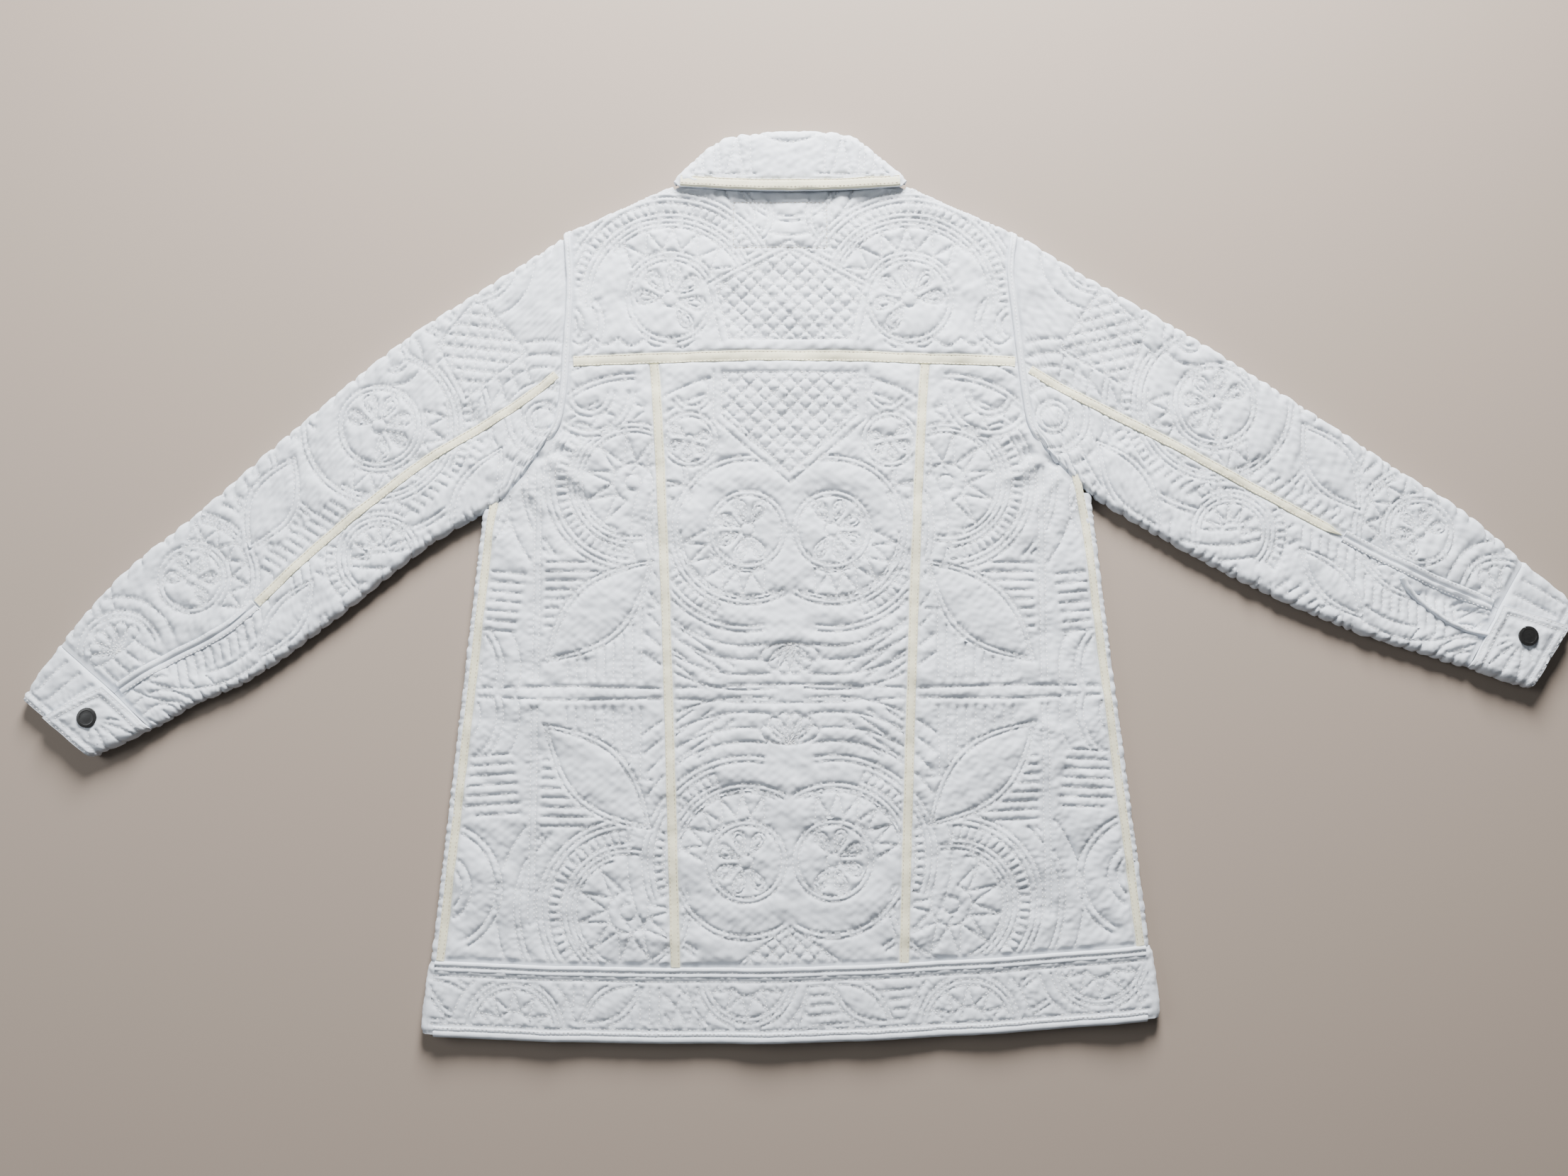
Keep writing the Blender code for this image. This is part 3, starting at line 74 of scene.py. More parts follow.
# Body, as in the solids
WALL = 3.0
THIN_WALL = 2.4                 # of the fronts and the hem band
SEAM_GAP = 0.3
HALF_GAP = SEAM_GAP / 2
FOLD_RADIUS = 4.7
HEM_RADIUS = FOLD_RADIUS + 0.3
SAG = 1.8
SAG_REACH = 60.0
CENTRE_RISE = 1.8
CENTRE_RISE_WIDTH = 60.0
CHEST_Y = 2.0
FOLD_TOP = {-1: 6.0, 1: 20.5}   # where the folded side goes under the sleeve
HEM_SEAM_Y = -385.0
HEM_Y = -444.0
HEM_TILT = 0.021
HEM_BOW = 0.00013
HEM_BOW_START = -60.0
BODY_REACH = 320.0
CHEST_X = {-1: 268.0, 1: 265.0}
HIP_X = {-1: 303.0, 1: 304.0}
SIDE_SEAM_INSET = 8.0
BACK_SEAM_TOP_X = 121.0
BACK_SEAM_HEM_X = 96.5
YOKE_SEAM_Y = 143.0
YOKE_SEAM_DROP = 6.0
NECK_POINT = (104.0, 299.0)
SHOULDER_POINT = (199.0, 255.0)
SHOULDER_WRAP = math.radians(112)
FRONT_OVERLAP = 14.0
FRONT_LIFT = 2.7
LIFT_START = 36.0
FRONT_NECK_DEPTH = 222.0
FRONT_NECK = [(92, 290), (78, 262), (50, 236), (FRONT_OVERLAP + 2, FRONT_NECK_DEPTH + 1)]
ARMHOLE = {
    -1: [(-198, 252), (-195, 216), (-195, 187), (-197, 148), (-199, 112), (-204, 83), (-215, 64)],
    1: [(200, 255), (196, 221), (199, 187), (203, 148), (207, 111), (212, 82), (223, 61)],
}
FOLD_SHARES = (0.0, 0.25, 0.5, 0.75, 1.0)

# Sleeves, as in the solids
SleeveRow = namedtuple("SleeveRow", "upper_x upper_y lower_x lower_y seam half_height")
SLEEVE_ROWS = {
    -1: [
        SleeveRow(-199, 252, -216, 63, 0.63, 4.8),
        SleeveRow(-262, 209, -253, 15, 0.62, 5.2),
        SleeveRow(-342, 155, -316, -25, 0.62, 5.4),
        SleeveRow(-430, 80, -398, -91, 0.62, 5.3),
        SleeveRow(-513, 5, -465, -140, 0.68, 5.2),
        SleeveRow(-580, -52, -515, -163, 0.66, 5.2),
        SleeveRow(-630, -112, -548, -184, 0.58, 5.2),
    ],
    1: [
        SleeveRow(201, 255, 224, 60, 0.61, 4.8),
        SleeveRow(270, 210, 262, 22, 0.58, 5.2),
        SleeveRow(352, 161, 322, -16, 0.55, 5.4),
        SleeveRow(450, 97, 404, -61, 0.53, 5.3),
        SleeveRow(533, 40, 484, -97, 0.52, 5.2),
        SleeveRow(590, 2, 540, -116, 0.52, 5.2),
        SleeveRow(637, -40, 585, -131, 0.45, 5.2),
    ],
}
SLEEVE_STATIONS = 61
SLEEVE_RADIUS = 5.2
SLEEVE_SAG = 1.5
ARMHOLE_REACH = 90.0
ARMHOLE_CLEARANCE = 1.0
UNDER_SEAM = 0.45
PLACKET_START = 0.68

# The curved lower edge of the right sleeve's slit
SLIT_EDGE = [(531, -54), (536, -63), (546, -73.5), (567, -90.5), (588, -100), (604, -103.5)]

# Cuffs, as in the solids
CuffRow = namedtuple("CuffRow", "upper_x upper_y lower_x lower_y tab")
CUFF_ENDS = {
    -1: [CuffRow(-630, -112, -548, -184, 0.50), CuffRow(-660, -158, -598, -208, 0.33)],
    1: [CuffRow(637, -40, 585, -131, 0.42), CuffRow(683, -80, 637, -149, 0.24)],
}
CUFF_WALL = 3.0
CUFF_HALF_HEIGHT = 5.2
CUFF_UNDERLAP = 0.8

# Collar, as in the solids
COLLAR_OUTLINE = [(-104, 302), (-92, 313), (-76, 329), (-56, 341), (-30, 345), (5, 347),
                  (40, 346), (60, 340), (78, 326), (92, 313), (105, 303)]
COLLAR_EDGE_Y = 292.0
COLLAR_EDGE_RISE = 4.5
COLLAR_RADIUS = 7.0
COLLAR_WALL = 2.8
COLLAR_WRAP = math.radians(122)
COLLAR_BINDING = 9.0
NECK_SEAM_LAP = 7.0

# Stitches
STITCH_LENGTH = 2.3
STITCH_GAP = 1.3
STITCH_RISE = 0.55
STITCH_SEED = 5
ROW_MARGIN = 5.0                # kept free of quilting beside a seam
SEAM_MARGIN = 6.0               # and beside one under a tape

# Mesh density
FINE_STEP = 1.65
COARSE_STEP = 16.0
RIM_STEP = 3.0
ROW_STEP = 1.8
SAMPLE_STEP = 0.9
TAPE_STEP = 3.0


# Plane geometry
def smooth_step(value):
    value = np.clip(value, 0.0, 1.0)
    return value * value * (3.0 - 2.0 * value)


def spline(rows, count):
    """Catmull-Rom curve through rows of numbers, read at count even places."""
    rows = np.array(rows, dtype=float)
    last = len(rows) - 1
    place = np.linspace(0.0, last, count)
    k = np.minimum(place.astype(int), last - 1)
    f = (place - k)[:, None]
    a, b, c, d = (rows[np.clip(k + j, 0, last)] for j in (-1, 0, 1, 2))
    return 0.5 * (2 * b + (c - a) * f + (2 * a - 5 * b + 4 * c - d) * f ** 2
                  + (3 * b - a - 3 * c + d) * f ** 3)


def resample(path, step, closed=False):
    """Points about one step apart along a path, keeping its corners."""
    path = np.array(path, dtype=float)
    if closed:
        path = np.vstack((path, path[:1]))
    result = []
    for a, b in zip(path, path[1:]):
        parts = max(1, round(math.dist(a, b) / step))
        result.append(a + (b - a) * (np.arange(parts) / parts)[:, None])
    if not closed:
        result.append(path[-1:])
    return np.vstack(result)


def inside(points, polygon):
    """Which points lie in a polygon."""
    polygon = np.array(polygon, dtype=float)
    x, y = points[:, 0], points[:, 1]
    result = np.zeros(len(points), dtype=bool)
    for (ax, ay), (bx, by) in zip(polygon, np.roll(polygon, -1, axis=0)):
        if ay == by:
            continue
        result ^= ((ay > y) != (by > y)) & (x < ax + (bx - ax) * (y - ay) / (by - ay))
    return result


def signed_area(outline):
    """The area of an outline, negative where it runs clockwise."""
    x, y = outline[:, 0], outline[:, 1]
    return (x * np.roll(y, -1) - np.roll(x, -1) * y).sum() / 2


def way_of(angle):
    """The unit vector at an angle."""
    return np.array((math.cos(angle), math.sin(angle)))


def across_of(along):
    """The unit vector to the left of a vector."""
    return np.array((-along[1], along[0])) / math.hypot(*along)


def nearest_on(path, points):
    """Distance from each point to a path, its nearest place there and the left normal."""
    best = np.full(len(points), 1e9)
    foot = np.zeros((len(points), 2))
    normal = np.zeros((len(points), 2))
    for a, b in zip(np.array(path, dtype=float), np.array(path[1:], dtype=float)):
        along = b - a
        f = np.clip(((points - a) @ along) / (along @ along), 0.0, 1.0)
        spot = a + f[:, None] * along
        distance = np.hypot(*(points - spot).T)
        closer = distance < best
        best[closer] = distance[closer]
        foot[closer] = spot[closer]
        normal[closer] = across_of(along)
    return best, foot, normal


def left_of(path):
    """The unit vectors to the left of a path, point by point."""
    along = np.vstack((path[1:], path[-1:])) - np.vstack((path[:1], path[:-1]))
    along /= np.hypot(*along.T)[:, None]
    return np.column_stack((-along[:, 1], along[:, 0]))


def offset_path(path, distance):
    """The path moved to its left by a distance."""
    path = np.array(path, dtype=float)
    return path + left_of(path) * distance


def tree_of(points):
    """A search tree of places in plan."""
    tree = KDTree(len(points))
    for i, (x, y) in enumerate(points):
        tree.insert((x, y, 0.0), i)
    tree.balance()
    return tree


def nearest(tree, points):
    """Which place in a tree is nearest to each point, and how far it is."""
    found = [tree.find((x, y, 0.0)) for x, y in points]
    return np.array([f[1] for f in found]), np.array([f[2] for f in found])


def ripples(points, length, seed):
    """Smooth unevenness from -1 to 1 or so, with waves of about a length."""
    draw = np.random.default_rng(seed)
    total = np.zeros(len(points))
    for _ in range(9):
        angle, phase = draw.uniform(0, math.tau, 2)
        wave = math.tau / (length * draw.uniform(0.7, 1.6))
        onward = points[:, 0] * math.cos(angle) + points[:, 1] * math.sin(angle)
        total += np.sin(wave * onward + phase)
    return total / 3.0


# Body frame
def side_of(x):
    return np.where(x > 0, 1.0, -1.0)


def side_x(side, y):
    """The folded side of the body at height y on the view."""
    chest = np.where(np.array(side) > 0, CHEST_X[1], CHEST_X[-1])
    hip = np.where(np.array(side) > 0, HIP_X[1], HIP_X[-1])
    return side * (chest + (hip - chest) * (CHEST_Y - y) / (CHEST_Y - HEM_SEAM_Y))


def back_seam_x(side, y):
    """The seam between the centre back and a side panel."""
    f = np.maximum(0.0, (YOKE_SEAM_Y - y) / (YOKE_SEAM_Y - HEM_SEAM_Y))
    return side * (BACK_SEAM_TOP_X + (BACK_SEAM_HEM_X - BACK_SEAM_TOP_X) * f ** 0.7)


def settled(points):
    """Places on the body moved as the lower body lies, its hem askew and bowed."""
    x, y = points[:, 0], points[:, 1]
    share = smooth_step((HEM_BOW_START - y) / (HEM_BOW_START - HEM_SEAM_Y))
    share = np.where(np.abs(x) > BODY_REACH, 0.0, share)
    moved = points.copy()
    moved[:, 1] += (HEM_TILT * x + HEM_BOW * x * x) * share
    return moved


def armhole_x(side, y):
    path = np.array(ARMHOLE[side], dtype=float)
    return np.interp(y, path[::-1, 1], path[::-1, 0])


def yoke_seam_y(x):
    return YOKE_SEAM_Y - YOKE_SEAM_DROP * (x / SHOULDER_POINT[0]) ** 2


def collar_edge_y(x):
    return COLLAR_EDGE_Y + COLLAR_EDGE_RISE * (x / NECK_POINT[0]) ** 2


def shoulder_path(side, inset=0.0):
    """The shoulder fold from neck to armhole, run on past both, moved inwards by inset."""
    neck = np.array((side * NECK_POINT[0], NECK_POINT[1]))
    tip = np.array((side * SHOULDER_POINT[0], SHOULDER_POINT[1]))
    along = (tip - neck) / math.dist(tip, neck)
    inward = np.array((along[1], -along[0])) * side
    return np.array((neck - along * 30 + inward * inset, tip + along * 30 + inward * inset))


def edge_distance(points):
    """How far places on the back are from the nearest folded side, shoulder or armhole."""
    x, y = points[:, 0], points[:, 1]
    side = side_of(x)
    result = np.abs(side_x(side, y)) - np.abs(x)
    for way in (-1, 1):
        near = np.minimum(nearest_on(shoulder_path(way), points)[0],
                          nearest_on(ARMHOLE[way], points)[0])
        result = np.where(side == way, np.minimum(result, near), result)
    return np.maximum(0.0, result)


Crease = namedtuple("Crease", "x0 y0 x1 y1 width height")
CREASES = [
    Crease(-214, 60, -176, 18, 6, 2.3), Crease(-208, 72, -168, 52, 6, 1.6),
    Crease(-226, 54, -192, 56, 5, -2.6), Crease(242, 50, 202, 54, 5, -3.0),
    Crease(236, 40, 214, 4, 5, 2.0), Crease(-232, 34, -214, -2, 5, 1.7),
    Crease(-224, 44, -214, -8, 7, 1.2), Crease(-196, 40, -188, -30, 9, -0.8),
    Crease(222, 58, 186, 26, 6, 2.4), Crease(218, 78, 180, 66, 6, 1.7),
    Crease(232, 44, 236, -14, 7, 1.4), Crease(206, 40, 200, -26, 9, -0.9),
    Crease(216, -176, 232, -330, 7, 2.2), Crease(246, -150, 262, -268, 6, 2.0),
    Crease(194, -236, 214, -300, 7, 1.6), Crease(230, -210, 246, -330, 6, -1.6),
    Crease(206, -170, 236, -196, 6, 1.5), Crease(228, -214, 262, -236, 6, 1.5),
    Crease(-246, -50, -238, -170, 8, 1.4), Crease(-228, -200, -248, -330, 8, 1.3),
    Crease(-262, -90, -270, -250, 6, -1.2), Crease(-22, -104, 74, -112, 6, 1.3),
    Crease(-204, -150, -236, -176, 6, 1.4), Crease(-158, -350, -96, -362, 6, 1.2),
    Crease(543, -64, 604, -90, 8, -3.4),
    Crease(-70, -222, 52, -232, 7, 0.9), Crease(-58, -60, 20, -52, 7, 0.8),
    Crease(-150, -300, -108, -318, 6, 0.8), Crease(108, -60, 132, -36, 6, 0.7),
    Crease(-168, 168, -60, 160, 7, 0.7), Crease(52, 164, 170, 176, 8, 0.6),
    Crease(-238, 10, -262, 56, 7, 1.4), Crease(-224, 44, -262, 92, 7, 1.2),
    Crease(-250, 30, -286, 60, 7, 1.1), Crease(-292, 0, -322, 40, 8, 0.9),
    Crease(236, 36, 262, 78, 7, 1.5), Crease(252, 26, 296, 60, 7, 1.3),
    Crease(228, 60, 250, 112, 7, 1.1), Crease(300, -2, 330, 46, 8, 0.9),
    Crease(-352, -52, -384, -10, 7, 1.1), Crease(-386, -78, -412, -40, 7, 1.0),
    Crease(-436, -84, -458, -122, 6, 1.2), Crease(-470, -60, -496, -96, 7, -1.0),
    Crease(-498, -30, -520, -84, 8, 1.0), Crease(-540, -60, -556, -100, 7, 1.2),
    Crease(-566, -86, -600, -112, 7, 1.3), Crease(-420, 30, -446, -20, 9, 0.8),
    Crease(396, -40, 418, 10, 7, 1.1), Crease(442, -66, 462, -20, 7, 1.0),
    Crease(492, -84, 512, -44, 7, 1.1), Crease(520, -6, 560, -52, 7, 1.2),
    Crease(556, -30, 600, -58, 7, 1.3), Crease(548, 14, 580, -24, 8, 0.9),
    Crease(596, -72, 622, -104, 6, 1.3), Crease(470, 60, 492, 10, 9, 0.8),
]


def crumple(points):
    """How the cloth's soft unevenness and its main creases lift it, in plan."""
    total = (0.9 * ripples(points, 62.0, 11) + 0.42 * ripples(points, 28.0, 12)
             + 0.14 * ripples(points, 12.0, 13))
    for crease in CREASES:
        a, b = np.array(crease[:2], dtype=float), np.array(crease[2:4], dtype=float)
        along = b - a
        f = ((points - a) @ along) / (along @ along)
        bend = 2.5 * np.sin(math.pi * np.clip(f, 0, 1) * 2 + crease.x0)
        across = (points - a) @ np.array((-along[1], along[0])) / math.hypot(*along) + bend
        window = smooth_step(f / 0.3 + 0.3) * smooth_step((1 - f) / 0.3 + 0.3)
        total += crease.height * np.exp(-(across / crease.width) ** 2) * window
    return total


def back_height(points):
    """The outside of the back between its quilting."""
    x, y = points[:, 0], points[:, 1]
    inner = smooth_step(edge_distance(points) / SAG_REACH)
    rise = CENTRE_RISE * np.exp(-(x / CENTRE_RISE_WIDTH) ** 2) * smooth_step((300 - y) / 60)
    near_edge = smooth_step(edge_distance(points) / 14.0)
    return 2 * FOLD_RADIUS - SAG * inner + rise + crumple(points) * near_edge


# Quilting motifs, each a set of stitched lines and the ground that it covers
Motif = namedtuple("Motif", "lines covers")
RUNG_PITCH = 7.0


def arc(x, y, radius, start=0.0, end=360.0):
    count = max(8, round(radius * math.radians(abs(end - start)) / ROW_STEP))
    angles = np.radians(np.linspace(start, end, count + 1))
    return np.column_stack((x + radius * np.cos(angles), y + radius * np.sin(angles)))


def in_circle(x, y, radius):
    return lambda p: np.hypot(p[:, 0] - x, p[:, 1] - y) < radius


def in_ring(x, y, low, high, start, end):
    def covers(p):
        distance = np.hypot(p[:, 0] - x, p[:, 1] - y)
        angle = np.degrees(np.arctan2(p[:, 1] - y, p[:, 0] - x))
        turn = (angle - start) % 360.0
        return (distance > low) & (distance < high) & (turn < end - start)
    return covers


def in_shape(shape, margin):
    shape = np.array(shape, dtype=float)
    closed = np.vstack((shape, shape[:1]))
    return lambda p: inside(p, shape) | (nearest_on(closed, p)[0] < margin)


def teardrop(root, tip, width):
    """A petal: pointed at its root, round at its tip."""
    root, tip = np.array(root, dtype=float), np.array(tip, dtype=float)
    along = tip - root
    across = across_of(along) * width / 2
    count = max(12, round(2.2 * math.hypot(*along) / ROW_STEP))
    turn = np.linspace(0.0, math.tau, count + 1)
    reach = (1 - np.cos(turn)) / 2
    swing = np.sin(turn) * np.abs(np.sin(turn / 2)) ** 1.3 * 1.35
    return root + reach[:, None] * along + swing[:, None] * across


def flower(x, y, radius, petals=6, turn=90.0, spread=250.0):
    """An eye with doubled teardrop petals over part of a turn, in a round frame."""
    lines = [arc(x, y, radius), arc(x, y, radius * 0.2), arc(x, y, radius + 4.5)]
    middle = np.array((x, y))
    width = 0.52 * radius * math.radians(spread) / petals
    for i in range(petals):
        way = way_of(math.radians(turn + spread * (i / (petals - 1) - 0.5)))
        for low, high, share in ((0.22, 0.90, 1.0), (0.40, 0.78, 0.5)):
            lines.append(teardrop(middle + way * radius * low, middle + way * radius * high,
                                  width * share))
    return Motif(lines, in_circle(x, y, radius + 7))


def rays(x, y, low, high, start, end, count):
    """Pointed rays on a ring, between two arcs."""
    angles = np.radians(start + (end - start) * np.arange(2 * count + 1) / (2 * count))
    reach = np.where(np.arange(2 * count + 1) % 2 == 0, low + 1.0, high - 1.0)
    zigzag = np.column_stack((x + reach * np.cos(angles), y + reach * np.sin(angles)))
    lines = [resample(zigzag, ROW_STEP), arc(x, y, low, start, end), arc(x, y, high, start, end)]
    return Motif(lines, in_ring(x, y, low - 2, high + 2.5, start - 2, end + 2))


def scallops(x0, y0, x1, y1, count, height):
    """A row of small arches between two places."""
    start, end = np.array((x0, y0), dtype=float), np.array((x1, y1), dtype=float)
    along = end - start
    f = np.linspace(0, 1, max(8, round(math.hypot(*along) * 1.3 / ROW_STEP)))
    arch = height * np.abs(np.sin(math.pi * count * f))
    line = start + f[:, None] * along + across_of(along) * arch[:, None]
    return Motif([line], lambda p: nearest_on(line[::4], p)[0] < 2.5)


def spoke(x, y, angle, low, high):
    """A line outwards from a middle, between two radii."""
    middle, way = np.array((x, y)), way_of(angle)
    return resample([middle + way * low, middle + way * high], ROW_STEP)


def ladder(x, y, low, high, start, end):
    """Two arcs with rungs between them."""
    lines = [arc(x, y, low, start, end), arc(x, y, high, start, end)]
    count = max(2, round(math.radians(end - start) * high / RUNG_PITCH))
    lines += [spoke(x, y, angle, low, high)
              for angle in np.radians(np.linspace(start, end, count + 1))]
    return Motif(lines, in_ring(x, y, low - 2, high + 2, start, end))


def arcs(x, y, radii, start, end):
    """Arcs round a common middle."""
    def covers(points):
        return np.any([in_ring(x, y, r - 2, r + 2, start, end)(points) for r in radii], axis=0)
    return Motif([arc(x, y, r, start, end) for r in radii], covers)


def fan(x, y, length, start, end, count):
    """Teardrops spread from one place."""
    lines = [teardrop((x, y), np.array((x, y)) + way_of(angle) * length, 0.42 * length)
             for angle in np.radians(np.linspace(start, end, count))]
    return Motif(lines, in_ring(x, y, -1, length + 3, start - 8, end + 8))


def leaf(x0, y0, x1, y1, width):
    """A pointed leaf between two tips, with an outline round it."""
    start, end = np.array((x0, y0), dtype=float), np.array((x1, y1), dtype=float)
    along = end - start
    unit, across = along / math.hypot(*along), across_of(along)
    f = np.linspace(0.0, 1.0, max(8, round(math.hypot(*along) / ROW_STEP)))[:, None]
    lines = []
    for grow in (0.0, 5.0):
        for way in (1, -1):
            bulge = way * (width / 2 + grow) * np.sin(math.pi * f)
            lines.append(start - unit * grow + (along + 2 * unit * grow) * f + across * bulge)
    shape = np.vstack((lines[2], lines[3][::-1][1:-1]))
    return Motif(lines, in_shape(shape[::4], 2.5))


def field(shape, pitch, lean, crossed=False, border=True):
    """Parallel or crossed lines that fill a shape."""
    shape = np.array(shape, dtype=float)
    centre = shape.mean(axis=0)
    reach = np.hypot(*(shape - centre).T).max()
    lines = [resample(shape, ROW_STEP, closed=True)] if border else []
    for degrees in ((lean, -lean) if crossed else (lean,)):
        along = way_of(math.radians(degrees))
        across = np.array((-along[1], along[0]))
        for i in range(-int(reach / pitch), int(reach / pitch) + 1):
            middle = centre + across * pitch * i
            row = resample([middle - along * reach, middle + along * reach], ROW_STEP)
            lines += runs_of(row, inside(row, shape))
    return Motif(lines, in_shape(shape, 2.5 if border else 0.1))


def comb(shape, pitch, lean):
    """Parallel lines that fill a shape with no frame."""
    return field(shape, pitch, lean, border=False)


def bars(lines, margin=3.0):
    """Single stitched lines."""
    rows = [resample(line, ROW_STEP) for line in lines]

    def covers(points):
        return np.any([nearest_on(row[::6], points)[0] < margin for row in rows], axis=0)
    return Motif(rows, covers)


def mirrored(motifs):
    """Motifs for the right of the view, and the same for the left."""
    result = []
    flip = np.array((-1.0, 1.0))
    for motif in motifs:
        result.append(motif)
        result.append(Motif([line * flip for line in motif.lines],
                            lambda p, covers=motif.covers: covers(p * flip)))
    return result


def runs_of(line, kept):
    """The stretches of a line whose points are kept."""
    result = []
    start = None
    for i, keep in enumerate(list(kept) + [False]):
        if keep and start is None:
            start = i
        elif not keep and start is not None:
            if i - start > 3:
                result.append(line[start:i])
            start = None
    return result


def split_runs(lines, kept):
    """The kept stretches of lines whose points' marks come as one row."""
    ends = np.cumsum([len(line) for line in lines])
    result = []
    for line, marks in zip(lines, np.split(kept, ends[:-1])):
        result += runs_of(line, marks)
    return result


def uncovered(motifs):
    """The motifs' lines, each hidden by the motifs before it."""
    result = []
    boxes = [(np.vstack(motif.lines).min(axis=0) - 8, np.vstack(motif.lines).max(axis=0) + 8)
             for motif in motifs]
    for i, motif in enumerate(motifs):
        joined = np.vstack(motif.lines)
        kept = np.ones(len(joined), dtype=bool)
        for other, (low, high) in zip(motifs[:i], boxes):
            near = np.all((joined > low) & (joined < high), axis=1)
            if near.any():
                kept[near] &= ~other.covers(joined[near])
        result += split_runs(motif.lines, kept)
    return result


def clipped(lines, allowed):
    """The stretches of lines in the allowed ground."""
    return split_runs(lines, allowed(np.vstack(lines)))


# A stitched rectangle in the yoke
LABEL = [(-50, 241), (33, 241), (33, 283), (-50, 283)]


def half_body(x_line, flip):
    """The motifs of one half of the back's height, right of its middle; flip turns them over."""
    def at(y):
        return x_line + flip * y

    def turned(start, end):
        return (start, end) if flip > 0 else (-end, -start)

    flower_x, flower_y = 37, at(142)
    sun_x, sun_y = 137, at(184)
    return [
        flower(flower_x, flower_y, 30, turn=0, spread=240),
        leaf(122, at(112), 208, at(30), 44),
        arcs(flower_x, flower_y, (61, 65.5), -121, 121),
        rays(flower_x, flower_y, 37, 58, *turned(246, 358), 6),
        rays(sun_x, sun_y, 17, 44, *turned(-72, 200), 8),
        arcs(sun_x, sun_y, (7, 48, 52.5), *turned(-100, 200)),
        ladder(sun_x, sun_y, 57, 68, *turned(-88, 62)),
        arcs(sun_x, sun_y, (73, 78), *turned(-88, 66)),
        ladder(flower_x, flower_y, 70, 79, *turned(-70, 48)),
        arcs(flower_x, flower_y, (84, 89, 101), *turned(-100, 60)),
        fan(0, at(44), 28, *turned(-150, -30), 6),
        comb([(150, at(120)), (212, at(120)), (212, at(34)), (186, at(52))], 8.0, 0),
        comb([(122, at(92)), (128, at(12)), (200, at(12)), (200, at(26)), (150, at(52))], 8.0, 90),
        bars([[(217, at(12)), (217, at(196))], [(222, at(12)), (222, at(196))]], 2.0),
        arcs(300, at(168), (22, 30, 50, 56), *turned(120, 260)),
        comb([(228, at(110)), (296, at(104)), (298, at(58)), (238, at(50))], 8.5, 5 * flip),
        arcs(298, at(20), (14, 26, 32, 46, 52, 66), *turned(60, 200)),
        arcs(flower_x, flower_y, (113, 126, 139), *turned(-100, 80)),
        arcs(sun_x, sun_y, (92, 97, 112), *turned(-100, 90)),
        comb([(60, at(50)), (112, at(64)), (112, at(14)), (44, at(14))], 9.0, 35 * flip),
        bars([[(0, at(8)), (50, at(7)), (108, at(4)), (190, at(6)), (302, at(3))]], 3.0),
    ]


@functools.lru_cache(maxsize=None)
def body_lines():
    """The quilting of the whole back, before it is shared out to the cut pieces."""
    yoke_field = [(-54, 158), (54, 158), (66, 206), (0, 240), (-66, 206)]
    back_field = [(-60, 128), (60, 128), (60, 90), (0, 38), (-60, 90)]
    motifs = [
        field(yoke_field, 10.0, 45.0, crossed=True),
        field(back_field, 10.0, 45.0, crossed=True),
        bars([[(-67, 129), (-67, 86), (0, 29), (67, 86), (67, 129)],
              [(-61, 156), (-73, 208), (0, 247), (73, 208), (61, 156)]], 2.5),
    ]
    motifs += mirrored([
        flower(106, 194, 35, turn=120, spread=230),
        rays(106, 194, 44, 66, 40, 205, 8),
        arcs(106, 194, (70, 74.5), -6, 205),
        ladder(106, 194, 79, 88, -2, 150),
        arcs(106, 194, (93, 98), -2, 160),
        scallops(196, 160, 84, 157, 5, 7),
        arcs(44, 270, (7, 13, 25, 30), 150, 330),
        arcs(0, 312, (42, 47, 60), 190, 270),
        arcs(158, 268, (8, 14, 22, 27), 0, 360),
        arcs(200, 170, (12, 18, 30, 36), 90, 270),
        flower(88, 68, 20, petals=5, turn=-80, spread=230),
        arcs(86, 112, (14, 19), 150, 330),
        arcs(176, 110, (16, 22, 34, 40), 180, 340),
        scallops(128, 96, 196, 70, 3, 8),
        field([(0, -350), (44, -381), (0, -381)], 9.0, 45.0, crossed=True),
    ])
    motifs += mirrored(half_body(-154, 1) + half_body(-154, -1))
    return uncovered(motifs)


